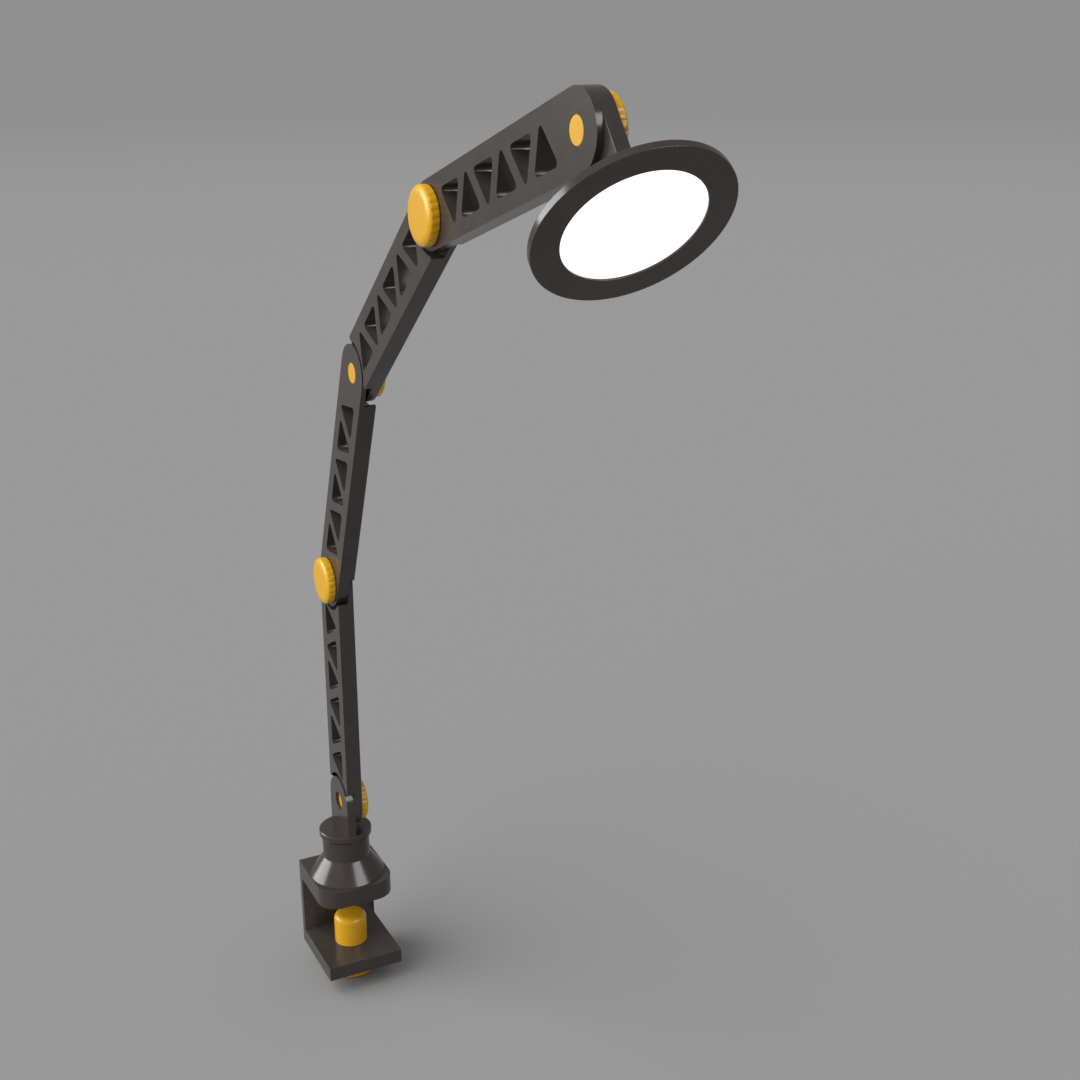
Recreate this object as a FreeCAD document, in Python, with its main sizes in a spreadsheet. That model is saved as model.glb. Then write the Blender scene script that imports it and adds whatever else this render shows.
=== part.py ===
import FreeCAD, Part
import math
import os
import re
import Sketcher

# Clamp-on desk lamp: a bench clamp, a swivel foot, a chain of four truss arms
# on thumb-screw hinges, and a round LED head on a bracket.
# Frame: +Z up, +X the way the lamp reaches, origin on the swivel axis at the
# underside of the clamp's jaw, where it rests on the desk.  All sizes in mm.

Vector = FreeCAD.Vector

doc = FreeCAD.newDocument("ClampLamp")
sheet = doc.addObject("Spreadsheet::Sheet", "Sizes")

SIZES = {
    # truss arms
    "arm_pitch": 160.0,          # hinge axis to hinge axis
    "arm_depth": 34.0,           # across the arm, also the round of its ears
    "arm_thickness": 10.2,
    "shoulder": 12.5,            # hinge axis to the straight end of a lap
    "fold_angle": 69.0,          # most that two arms fold, from straight
    "ear_clearance": 0.4,        # between a folded arm and the round pocket
    "thin_ear": 3.0,             # ear at the upper end of an arm
    "face_gap": 0.1,             # between two ears of one hinge
    "truss_pitch": 20.0,         # from one triangle to the next, point up or down
    "truss_pairs": 3,
    "truss_base": 20.0,          # long side of a triangle
    "chord_width": 7.5,          # solid edge outside the triangles
    "truss_corner": 1.2,
    # thumb screws of the hinges
    "knob_radius": 15.0,
    "knob_height": 6.0,
    "knob_round": 2.4,
    "knob_bevel": 0.8,           # in the middle of the rounded edge
    "knob_crown": 4.3,           # from the rim to the flat of the head
    "knob_flutes": 24,
    "flute_radius": 1.5,
    "flute_depth": 0.9,
    "shank_radius": 6.2,
    "running_gap": 0.08,
    "tip_recess": 2.0,           # the lowest thumb screw stops short of the face
    "spacer_radius": 10.0,
    # pose of the chain, from upright, towards +X
    "tilt_1": 1.0,
    "tilt_2": 23.3,
    "tilt_3": 50.6,
    "tilt_4": 72.7,
    "head_tilt": 41.6,           # how far the lamp face looks below level
    # clamp frame
    "clamp_width": 51.6,
    "jaw_front": 25.8,
    "jaw_thickness": 12.6,
    "jaw_corner": 14.0,
    "clamp_back": 27.8,
    "wall_thickness": 4.8,
    "plate_front": 29.6,
    "plate_thickness": 9.7,
    "throat": 41.3,
    "inside_round": 1.5,
    # collar and swivel foot
    "cone_radius": 25.4,
    "cone_height": 14.1,
    "neck_radius": 15.9,
    "neck_height": 14.1,
    "cavity_radius": 14.5,
    "cavity_height": 11.4,
    "spigot_radius": 8.0,
    "spigot_foot": 1.9,          # from the jaw to the end of the spigot
    "swivel_gap": 0.3,
    "cap_radius": 17.6,
    "cap_height": 5.4,
    "cap_chamfer": 1.5,
    "ear_rise": 20.0,            # cap top to the first hinge axis
    "foot_ear": 5.5,
    "chain_offset": 2.0,         # swivel axis to the middle plane of the arms
    "washer_radius": 12.0,
    "washer_thickness": 1.5,
    "nut_radius": 12.6,
    "nut_height": 6.0,
    # small screws
    "screw_circle": 19.0,
    "collar_screw_radius": 1.5,
    "collar_screw_bite": 4.4,
    "countersink_radius": 3.0,
    # clamping screw
    "screw_radius": 11.1,
    "screw_reach": 20.5,         # above the plate, pad included
    "pad_height": 6.0,
    "pad_round": 4.0,
    "pad_gap": 0.2,
    "stem_radius": 4.0,
    "stem_length": 8.0,
    "grip_radius": 16.4,
    "grip_height": 11.0,
    "grip_gap": 2.0,             # plate to grip
    "grip_flutes": 24,
    # lamp head
    "head_reach": 50.6,          # last hinge axis to the lamp face
    "head_radius": 42.0,
    "rim_height": 3.4,
    "rim_wall": 1.6,
    "ring_thickness": 1.2,
    "ring_width": 12.0,          # black ring round the window
    "diffuser_margin": 2.4,      # bezel wall to the edge of the diffuser
    "diffuser_thickness": 0.8,
    "fit_gap": 0.1,
    "dome_step": 6.0,            # rim to the foot of the dished back
    "dome_slope": 14.0,          # foot of the dished back to its flat
    "dome_height": 8.0,
    "shell_floor": 1.5,
    "board_inset": 14.0,         # rim to the edge of the LED board
    "board_depth": 5.2,          # lamp face to the back of the LED board
    "board_thickness": 1.2,
    "rear_inset": 8.0,           # edge of the LED board to the space behind it
    "chip_size": 3.0,
    "chip_height": 0.7,
    "inner_chips": 6,
    "inner_circle": 9.5,
    "outer_chips": 12,
    "outer_circle": 20.0,
    "reflector_width": 3.0,
    "reflector_lip": 0.5,
    "flange_radius": 13.0,
    "flange_height": 4.0,
    "bracket_foot": 10.0,        # half of the bracket plate's foot
    "foot_flare": 2.5,
    "bracket_screw_pitch": 16.0,
    "bracket_screw_radius": 1.5,
    "bracket_screw_bite": 8.0,
    "pan_radius": 2.8,
    "pan_height": 1.8,
    "driver_length": 18.0,
    "driver_width": 9.0,
    "driver_thickness": 1.4,
    "driver_offset": 11.0,
    "post_height": 0.8,
    "post_radius": 1.5,
    "choke_radius": 2.4,
    "choke_height": 1.6,
    "inlet_radius": 4.0,
    "inlet_lip": 4.6,
    "inlet_lip_height": 1.0,
    "inlet_bore": 2.75,
    "inlet_depth": 4.5,
    "inlet_pin": 0.8,
    "inlet_offset": 17.6,
}

for row, (alias, number) in enumerate(SIZES.items(), start=1):
    sheet.set(f"A{row}", alias)
    sheet.set(f"B{row}", str(number))
    sheet.setAlias(f"B{row}", alias)
doc.recompute()


# ---------------------------------------------------------------- expressions
def bound(text):
    """The expression with each size's name pointed at the sheet."""
    def point(match):
        word = match.group(0)
        return "Sizes." + word if word in SIZES else word
    return re.sub(r"[A-Za-z_][A-Za-z_0-9]*", point, str(text))


def value(text):
    """The number that an expression in the sheet's names gives now."""
    return float(sheet.evalExpression(bound(text)))


def bind(obj, **properties):
    """Set properties of an object by expressions."""
    for name, text in properties.items():
        whole = isinstance(getattr(obj, name), int)
        setattr(obj, name, round(value(text)) if whole else value(text))
        obj.setExpression(name, bound(text))


# ------------------------------------------------------------ sketch helpers
def origin_plane(body, role):
    for feature in body.Origin.OriginFeatures:
        if feature.Role == role:
            return feature
    raise ValueError(role)


def new_body(label):
    body = doc.addObject("PartDesign::Body", label)
    body.Label = label
    return body


def new_sketch(body, name, role, offset="0"):
    """A sketch on an origin plane, moved along the plane's normal."""
    sketch = body.newObject("Sketcher::SketchObject", name)
    sketch.AttachmentSupport = [(origin_plane(body, role), "")]
    sketch.MapMode = "FlatFace"
    sketch.AttachmentOffset = FreeCAD.Placement(Vector(0, 0, value(offset)), FreeCAD.Rotation())
    sketch.setExpression("AttachmentOffset.Base.z", bound(offset))
    return sketch


def drive(sketch, kind, *arguments):
    """Add a dimension whose last argument is an expression."""
    *where, text = arguments
    index = sketch.addConstraint(Sketcher.Constraint(kind, *where, value(text)))
    sketch.setExpression(f"Constraints[{index}]", bound(text))


def draw_circle(sketch, x, y, radius):
    circle = Part.Circle(Vector(value(x), value(y), 0), Vector(0, 0, 1), value(radius))
    index = sketch.addGeometry(circle)
    drive(sketch, "DistanceX", -1, 1, index, 3, x)
    drive(sketch, "DistanceY", -1, 1, index, 3, y)
    drive(sketch, "Radius", index, radius)


def draw_polygon(sketch, corners):
    """A closed outline whose corners are pairs of expressions."""
    points = [Vector(value(x), value(y), 0) for x, y in corners]
    lines = []
    for number, start in enumerate(points):
        end = points[(number + 1) % len(points)]
        lines.append(sketch.addGeometry(Part.LineSegment(start, end)))
    for number, line in enumerate(lines):
        following = lines[(number + 1) % len(lines)]
        sketch.addConstraint(Sketcher.Constraint("Coincident", line, 2, following, 1))
    for line, (x, y) in zip(lines, corners):
        drive(sketch, "DistanceX", -1, 1, line, 1, x)
        drive(sketch, "DistanceY", -1, 1, line, 1, y)


def draw_box(sketch, left, bottom, right, top):
    draw_polygon(sketch, [(left, bottom), (right, bottom), (right, top), (left, top)])


def pad(body, sketch, length, reverse=False, middle=False):
    feature = body.newObject("PartDesign::Pad", sketch.Name + "Pad")
    feature.Profile = sketch
    bind(feature, Length=length)
    feature.Reversed = reverse
    feature.Midplane = middle
    return feature


def pocket(body, sketch, length, reverse=False, middle=False):
    """Cut a sketch into the body, and make sure that it took something off."""
    doc.recompute()
    before = body.Shape.Volume
    feature = body.newObject("PartDesign::Pocket", sketch.Name + "Cut")
    feature.Profile = sketch
    bind(feature, Length=length)
    feature.Reversed = reverse
    feature.Midplane = middle
    doc.recompute()
    if body.Shape.Volume >= before:
        raise RuntimeError(f"{sketch.Name} cuts nothing from {body.Label}")
    return feature


def revolve(body, sketch):
    """Turn a sketch of the XZ plane about the body's Z axis."""
    feature = body.newObject("PartDesign::Revolution", sketch.Name + "Turn")
    feature.Profile = sketch
    feature.ReferenceAxis = (sketch, ["V_Axis"])
    feature.Angle = 360
    return feature


def round_edges(body, base, radius, chosen, kind="PartDesign::Fillet"):
    """Fillet or chamfer the edges of a feature that a test picks out."""
    doc.recompute()
    names = [f"Edge{i}" for i, edge in enumerate(base.Shape.Edges, start=1) if chosen(edge)]
    if not names:
        raise RuntimeError(f"no edge to round on {body.Label}")
    feature = body.newObject(kind, body.Name + "Edges")
    feature.Base = (base, names)
    if kind.endswith("Fillet"):
        bind(feature, Radius=radius)
    else:
        bind(feature, Size=radius)
    return feature


def flutes(body, cutter_x, cutter_radius, bottom, height, count):
    """Scallops round the rim of a grip that stands on the XY plane."""
    sketch = new_sketch(body, body.Name + "Flute", "XY_Plane", bottom)
    draw_circle(sketch, cutter_x, "0", cutter_radius)
    cut = pocket(body, sketch, height, reverse=True)
    pattern = body.newObject("PartDesign::PolarPattern", body.Name + "Flutes")
    pattern.Originals = [cut]
    axis = [f for f in body.Origin.OriginFeatures if f.Role == "Z_Axis"][0]
    pattern.Axis = (axis, [""])
    pattern.Angle = 360
    bind(pattern, Occurrences=count)
    body.Tip = pattern
    return pattern


# ------------------------------------------------------------ solids by parts
def solid(kind, name, at=("0", "0", "0"), **sizes):
    """A primitive with bound sizes and a bound place."""
    obj = doc.addObject(kind, name)
    bind(obj, **sizes)
    obj.Placement.Base = Vector(*(value(text) for text in at))
    for axis, text in zip("xyz", at):
        obj.setExpression(f"Placement.Base.{axis}", bound(text))
    return obj


def cut(name, base, tool):
    obj = doc.addObject("Part::Cut", name)
    obj.Base = base
    obj.Tool = tool
    return obj


def fuse(name, shapes):
    obj = doc.addObject("Part::MultiFuse", name)
    obj.Shapes = shapes
    obj.Refine = True
    return obj


def group(name, shapes):
    """Separate solids kept in one sub-part."""
    obj = doc.addObject("Part::Compound", name)
    obj.Links = shapes
    return obj


# ---------------------------------------------------------------- the frames
TILTS = [value(f"tilt_{number}") for number in (1, 2, 3, 4)]
JAW_TOP = "jaw_thickness"
NECK_TOP = "(jaw_thickness + cone_height + neck_height)"
CAP_FOOT = f"({NECK_TOP} + swivel_gap)"
CAP_TOP = f"({CAP_FOOT} + cap_height)"
FIRST_HINGE = f"({CAP_TOP} + ear_rise)"
PLATE_TOP = "(-throat)"
PLATE_FOOT = "(-throat - plate_thickness)"
PAD_TOP = "(screw_reach - throat)"


def hinge_point(number):
    """Where hinge 1 to 5 lies, counted from the clamp."""
    point = Vector(0, value("chain_offset"), value(FIRST_HINGE))
    for tilt in TILTS[:number - 1]:
        angle = math.radians(tilt)
        point += Vector(math.sin(angle), 0, math.cos(angle)) * value("arm_pitch")
    return point


def tilted(point, tilt, turned=False):
    """A frame at a hinge, leaning towards +X, turned half round if asked."""
    lean = FreeCAD.Rotation(Vector(0, 1, 0), tilt)
    turn = FreeCAD.Rotation(Vector(0, 0, 1), 180 if turned else 0)
    return FreeCAD.Placement(point, lean.multiply(turn))


HEAD_FRAME = tilted(hinge_point(5), 90 + value("head_tilt"))


# ------------------------------------------------------------------- clamp
def clamp_frame():
    """The C-shaped frame: jaw on the desk, back wall, plate below."""
    body = new_body("clamp_frame")
    side = new_sketch(body, "ClampSide", "XZ_Plane")
    back = "-clamp_back"
    draw_polygon(side, [
        (back, PLATE_FOOT),
        ("plate_front", PLATE_FOOT),
        ("plate_front", PLATE_TOP),
        ("wall_thickness - clamp_back", PLATE_TOP),
        ("wall_thickness - clamp_back", "0"),
        ("jaw_front", "0"),
        ("jaw_front", JAW_TOP),
        (back, JAW_TOP),
    ])
    profile = pad(body, side, "clamp_width", middle=True)

    def front_corner(edge):
        upright = edge.BoundBox.XLength < 0.01 and edge.BoundBox.YLength < 0.01
        return upright and edge.BoundBox.XMin > value("jaw_front") - 0.01 and edge.BoundBox.ZMin > -0.01

    rounded = round_edges(body, profile, "jaw_corner", front_corner)

    def inner_corner(edge):
        middle = edge.CenterOfMass
        inside = abs(middle.x - value("wall_thickness - clamp_back")) < 0.01
        return inside and edge.BoundBox.YLength > 1 and edge.BoundBox.ZLength < 0.01

    doc.recompute()
    inner = body.newObject("PartDesign::Fillet", "ClampInside")
    names = [f"Edge{i}" for i, e in enumerate(rounded.Shape.Edges, start=1) if inner_corner(e)]
    inner.Base = (rounded, names)
    bind(inner, Radius="inside_round")

    screw_way = new_sketch(body, "ScrewWay", "XY_Plane", PLATE_FOOT)
    draw_circle(screw_way, "0", "0", "screw_radius + running_gap")
    pocket(body, screw_way, "plate_thickness", reverse=True)

    holes = new_sketch(body, "CollarScrewHoles", "XY_Plane", "0")
    sinks = new_sketch(body, "CollarScrewSinks", "XY_Plane", "0")
    for along, across in SCREW_PLACES:
        draw_circle(holes, along, across, "collar_screw_radius + running_gap")
        draw_circle(sinks, along, across, "countersink_radius + running_gap")
    pocket(body, holes, "jaw_thickness", reverse=True)
    pocket(body, sinks, "countersink_radius - collar_screw_radius + running_gap", reverse=True)
    return body


SCREW_PLACES = [
    (f"screw_circle*cos({angle})", f"screw_circle*sin({angle})")
    for angle in (45, 135, 225, 315)
]


def collar():
    """Cone and neck on the jaw, with the bearing bore and the nut's cavity."""
    body = new_body("collar")
    outline = new_sketch(body, "CollarOutline", "XZ_Plane")
    bore = "spigot_radius + running_gap"
    ceiling = "jaw_thickness + cavity_height"
    draw_polygon(outline, [
        ("cavity_radius", JAW_TOP),
        ("cone_radius", JAW_TOP),
        ("neck_radius", "jaw_thickness + cone_height"),
        ("neck_radius", NECK_TOP),
        (bore, NECK_TOP),
        (bore, ceiling),
        ("cavity_radius", ceiling),
    ])
    revolve(body, outline)
    holes = new_sketch(body, "CollarPilots", "XY_Plane", JAW_TOP)
    for along, across in SCREW_PLACES:
        draw_circle(holes, along, across, "collar_screw_radius + running_gap")
    pocket(body, holes, "collar_screw_bite + running_gap", reverse=True)
    return body


def collar_screws():
    """Four countersunk screws, driven from under the jaw into the collar."""
    screws = []
    for number, (along, across) in enumerate(SCREW_PLACES, start=1):
        shank = solid("Part::Cylinder", f"CollarShank{number}", (along, across, "fit_gap"),
                      Radius="collar_screw_radius", Height="jaw_thickness + collar_screw_bite - fit_gap")
        head = solid("Part::Cylinder", f"CollarHead{number}", (along, across, "fit_gap"),
                     Radius="countersink_radius",
                     Height="countersink_radius - collar_screw_radius - fit_gap")
        drive_hole = solid("Part::Prism", f"CollarDrive{number}", (along, across, "0"),
                           Circumradius="collar_screw_radius", Height="collar_screw_radius")
        screws.append(cut(f"CollarScrew{number}", fuse(f"CollarBlank{number}", [shank, head]), drive_hole))
    return group("collar_screws", screws)


def swivel_cap():
    """The turning foot: cap, spigot down through the collar, and hinge ear."""
    body = new_body("swivel_cap")
    outline = new_sketch(body, "CapOutline", "XZ_Plane")
    draw_polygon(outline, [
        ("0", "jaw_thickness + spigot_foot"),
        ("spigot_radius", "jaw_thickness + spigot_foot"),
        ("spigot_radius", CAP_FOOT),
        ("cap_radius - cap_chamfer", CAP_FOOT),
        ("cap_radius", f"{CAP_FOOT} + cap_chamfer"),
        ("cap_radius", CAP_TOP),
        ("0", CAP_TOP),
    ])
    revolve(body, outline)
    far_face = "foot_ear + face_gap/2 - chain_offset"
    ear = new_sketch(body, "EarPost", "XZ_Plane", far_face)
    draw_box(ear, "-arm_depth/2", f"{CAP_TOP} - cap_height/2", "arm_depth/2", FIRST_HINGE)
    pad(body, ear, "foot_ear", reverse=True)
    top = new_sketch(body, "EarRound", "XZ_Plane", far_face)
    draw_circle(top, "0", FIRST_HINGE, "arm_depth/2")
    pad(body, top, "foot_ear", reverse=True)
    hole = new_sketch(body, "EarHole", "XZ_Plane", far_face)
    draw_circle(hole, "0", FIRST_HINGE, "shank_radius + running_gap")
    pocket(body, hole, "foot_ear")
    return body


def swivel_washer():
    ceiling = "jaw_thickness + cavity_height - face_gap"
    at = ("0", "0", f"{ceiling} - washer_thickness")
    disc = solid("Part::Cylinder", "WasherDisc", at, Radius="washer_radius", Height="washer_thickness")
    bore = solid("Part::Cylinder", "WasherBore", at,
                 Radius="spigot_radius + running_gap", Height="washer_thickness")
    return cut("swivel_washer", disc, bore)


def swivel_nut():
    """Six-sided nut that holds the spigot up against the washer."""
    at = ("0", "0", "jaw_thickness + cavity_height - face_gap - washer_thickness - nut_height")
    block = solid("Part::Prism", "NutBlock", at, Circumradius="nut_radius", Height="nut_height")
    bore = solid("Part::Cylinder", "NutBore", at,
                 Radius="spigot_radius + running_gap/2", Height="nut_height")
    return cut("swivel_nut", block, bore)


# ------------------------------------------------------------ clamping screw
def pressure_pad():
    """The round-edged tip of the screw, which bears on the desk."""
    body = new_body("pressure_pad")
    outline = new_sketch(body, "PadOutline", "XZ_Plane")
    foot = f"({PAD_TOP} - pad_height)"
    draw_polygon(outline, [
        ("0", f"{foot} - stem_length"),
        ("stem_radius", f"{foot} - stem_length"),
        ("stem_radius", foot),
        ("screw_radius", foot),
        ("screw_radius", PAD_TOP),
        ("0", PAD_TOP),
    ])
    turned = revolve(body, outline)

    def rim(edge):
        high = edge.BoundBox.ZMin > value(PAD_TOP) - 0.01
        return high and edge.BoundBox.XLength > 2 * value("screw_radius") - 0.1

    round_edges(body, turned, "pad_round", rim)
    return body


def clamp_screw():
    """Thick screw with its fluted grip below the plate."""
    body = new_body("clamp_screw")
    outline = new_sketch(body, "ScrewOutline", "XZ_Plane")
    top = f"({PAD_TOP} - pad_height - pad_gap)"
    grip_top = f"({PLATE_FOOT} - grip_gap)"
    grip_foot = f"({grip_top} - grip_height)"
    draw_polygon(outline, [
        ("0", grip_foot),
        ("grip_radius - knob_round", grip_foot),
        ("grip_radius", f"{grip_foot} + knob_round"),
        ("grip_radius", f"{grip_top} - knob_round/2"),
        ("grip_radius - knob_round/2", grip_top),
        ("screw_radius", grip_top),
        ("screw_radius", top),
        ("stem_radius + running_gap", top),
        ("stem_radius + running_gap", f"{top} - stem_length"),
        ("0", f"{top} - stem_length"),
    ])
    revolve(body, outline)
    flutes(body, "grip_radius + flute_radius - flute_depth", "flute_radius",
           grip_foot, "grip_height", "grip_flutes")
    return body


# --------------------------------------------------------------------- arms
def truss_arm(label, ear_face, number):
    """One arm, standing on its lower hinge, with both ears on its +Y side.

    ear_face is where the inner face of the lower ear lies, from the middle.
    """
    body = new_body(label)
    half = "arm_depth/2"
    web = new_sketch(body, f"{label}Web", "XZ_Plane")
    draw_box(web, f"-{half}", "0", half, "arm_pitch")
    pad(body, web, "arm_thickness", middle=True)
    for end, height in (("Low", "0"), ("High", "arm_pitch")):
        tip = new_sketch(body, f"{label}{end}Tip", "XZ_Plane")
        draw_circle(tip, "0", height, half)
        pad(body, tip, "arm_thickness", middle=True)

    wide = f"({half} + arm_thickness)"
    dip = f"(sin(fold_angle) - shoulder/({half}))/cos(fold_angle)"
    seat_radius = f"{half}*sqrt(1 + ({dip})^2) + ear_clearance"
    laps = [
        ("Low", "0", f"-{wide}", "shoulder", ear_face),
        ("High", "arm_pitch", "arm_pitch - shoulder", f"arm_pitch + {wide}",
         "(arm_thickness/2 - thin_ear)"),
    ]
    for end, hinge, bottom, top, face in laps:
        step = new_sketch(body, f"{label}{end}Lap", "XZ_Plane", f"-{face}")
        draw_box(step, f"-{wide}", bottom, wide, top)
        pocket(body, step, "arm_thickness", reverse=True)
        seat = new_sketch(body, f"{label}{end}Seat", "XZ_Plane", f"-{face}")
        draw_circle(seat, "0", hinge, seat_radius)
        pocket(body, seat, "arm_thickness", reverse=True)
        hole = new_sketch(body, f"{label}{end}Hole", "XZ_Plane")
        draw_circle(hole, "0", hinge, "shank_radius + running_gap")
        pocket(body, hole, "2*arm_thickness", middle=True)

    reach = f"({half} - chord_width)"
    first = "(arm_pitch/2 - truss_pitch*(truss_pairs - 0.5))"
    web_holes = new_sketch(body, f"{label}Truss", "XZ_Plane")
    for centre, base_x, point_x in ((first, reach, f"-{reach}"),
                                    (f"({first} + truss_pitch)", f"-{reach}", reach)):
        draw_polygon(web_holes, [
            (base_x, f"{centre} - truss_base/2"),
            (base_x, f"{centre} + truss_base/2"),
            (point_x, centre),
        ])
    opened = pocket(body, web_holes, "2*arm_thickness", middle=True)
    pattern = body.newObject("PartDesign::LinearPattern", f"{label}Trusses")
    pattern.Originals = [opened]
    pattern.Direction = (web_holes, ["V_Axis"])
    bind(pattern, Length="2*truss_pitch*(truss_pairs - 1)", Occurrences="truss_pairs")
    body.Tip = pattern

    def hole_corner(edge):
        box = edge.BoundBox
        across = box.YLength > value("arm_thickness") - 0.1 and box.XLength < 0.01
        inside = abs(box.XMin) < value(reach) + 0.1
        return across and box.ZLength < 0.01 and inside

    rounded = round_edges(body, pattern, "truss_corner", hole_corner)
    body.Tip = rounded
    body.Placement = tilted(hinge_point(number), TILTS[number - 1], turned=number % 2 == 0)
    return body


def hinge_spacer():
    """Washer that fills the gap between the ears of the third hinge."""
    thickness = "arm_thickness/2 - thin_ear - 1.5*face_gap"
    ring = solid("Part::Cylinder", "SpacerRing", Radius="spacer_radius", Height=thickness)
    bore = solid("Part::Cylinder", "SpacerBore", Radius="shank_radius + running_gap", Height=thickness)
    spacer = cut("hinge_spacer", ring, bore)
    face = value("thin_ear + face_gap - arm_thickness/2")
    spacer.Placement = FreeCAD.Placement(hinge_point(3) + Vector(0, face, 0),
                                         FreeCAD.Rotation(Vector(1, 0, 0), -90))
    return spacer


def hinge_knob(number, tip):
    """Thumb screw on +Y or -Y: fluted head outside, tip at the far ear.

    tip is how deep the tip lies, counted from the inner face of the head.
    """
    body = new_body(f"hinge_knob_{number}")
    outline = new_sketch(body, f"Knob{number}Outline", "XZ_Plane")
    draw_polygon(outline, [
        ("0", f"-{tip}"),
        ("shank_radius", f"-{tip}"),
        ("shank_radius", "0"),
        ("knob_radius - knob_round/4", "0"),
        ("knob_radius", "knob_round/4"),
        ("knob_radius", "knob_height - knob_round"),
        ("knob_radius - knob_bevel", "knob_height - knob_bevel"),
        ("knob_radius - knob_crown", "knob_height"),
        ("0", "knob_height"),
    ])
    revolve(body, outline)
    flutes(body, "knob_radius + flute_radius - flute_depth", "flute_radius",
           "0", "knob_height", "knob_flutes")
    outwards = 1 if number % 2 else -1
    face = Vector(0, outwards * value("arm_thickness/2 + face_gap"), 0)
    turn = FreeCAD.Rotation(Vector(1, 0, 0), -90 * outwards)
    body.Placement = FreeCAD.Placement(hinge_point(number) + face, turn)
    return body


# --------------------------------------------------------------------- head
FACE = "head_reach"
RIM_BACK = "(head_reach - rim_height)"
BACK = "(head_reach - rim_height - dome_height)"
FLOOR = f"({BACK} + shell_floor)"
BOARD_BACK = "(head_reach - board_depth)"
BOARD_FACE = f"({BOARD_BACK} + board_thickness)"
DIFFUSER_BACK = "(head_reach - ring_thickness - diffuser_thickness)"
FLANGE_TOP = f"({BACK} - flange_height)"
INSIDE_RIM = "(head_radius - rim_wall)"
BOARD_RADIUS = "(head_radius - board_inset)"


def head_bracket():
    """Hinge ear that tapers to a round flange on the back of the lamp head."""
    body = new_body("head_bracket")
    near = "arm_thickness/2"
    depth = "arm_thickness - thin_ear - face_gap"
    ear = new_sketch(body, "BracketEar", "XZ_Plane", f"-{near}")
    draw_circle(ear, "0", "0", "arm_depth/2")
    pad(body, ear, depth)
    lean = (f"(atan(bracket_foot/{FLANGE_TOP})"
            f" + acos(arm_depth/2/sqrt(bracket_foot^2 + {FLANGE_TOP}^2)))")
    web = new_sketch(body, "BracketWeb", "XZ_Plane", f"-{near}")
    waist_x = f"arm_depth/2*sin({lean})"
    waist_z = f"arm_depth/2*cos({lean})"
    draw_polygon(web, [
        (f"-{waist_x}", waist_z),
        (waist_x, waist_z),
        ("bracket_foot", f"{FLANGE_TOP} + flange_height/2"),
        ("-bracket_foot", f"{FLANGE_TOP} + flange_height/2"),
    ])
    pad(body, web, depth)
    flange = new_sketch(body, "BracketFlange", "XZ_Plane")
    draw_polygon(flange, [
        ("0", FLANGE_TOP),
        ("flange_radius", FLANGE_TOP),
        ("flange_radius", BACK),
        ("0", BACK),
    ])
    joined = revolve(body, flange)

    def foot_corner(edge):
        box = edge.BoundBox
        level = box.ZLength < 0.01 and abs(box.ZMin - value(FLANGE_TOP)) < 0.01
        return level and box.YLength < 0.01 and box.XLength > value("bracket_foot")

    flared = round_edges(body, joined, "foot_flare", foot_corner)
    hole = new_sketch(body, "BracketHole", "XZ_Plane", f"-{near}")
    draw_circle(hole, "0", "0", "shank_radius + running_gap")
    pocket(body, hole, depth, reverse=True)
    pilots = new_sketch(body, "BracketPilots", "XY_Plane", BACK)
    for side in ("-1", "1"):
        draw_circle(pilots, f"{side}*bracket_screw_pitch/2", "0", "bracket_screw_radius + running_gap")
    pocket(body, pilots, "bracket_screw_bite + running_gap")
    body.Placement = HEAD_FRAME
    return body


def bracket_screws():
    """Two pan-head screws, from inside the lamp housing into the flange."""
    screws = []
    for number, side in enumerate(("-1", "1"), start=1):
        along = f"{side}*bracket_screw_pitch/2"
        shank = solid("Part::Cylinder", f"BracketShank{number}", (along, "0", f"{BACK} - bracket_screw_bite"),
                      Radius="bracket_screw_radius", Height="bracket_screw_bite + shell_floor")
        head = solid("Part::Cylinder", f"BracketHead{number}", (along, "0", FLOOR),
                     Radius="pan_radius", Height="pan_height")
        socket = solid("Part::Prism", f"BracketDrive{number}", (along, "0", f"{FLOOR} + pan_height/2"),
                       Circumradius="bracket_screw_radius", Height="pan_height")
        screws.append(cut(f"BracketScrew{number}", fuse(f"BracketBlank{number}", [shank, head]), socket))
    screws = group("bracket_screws", screws)
    screws.Placement = HEAD_FRAME
    return screws


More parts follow.
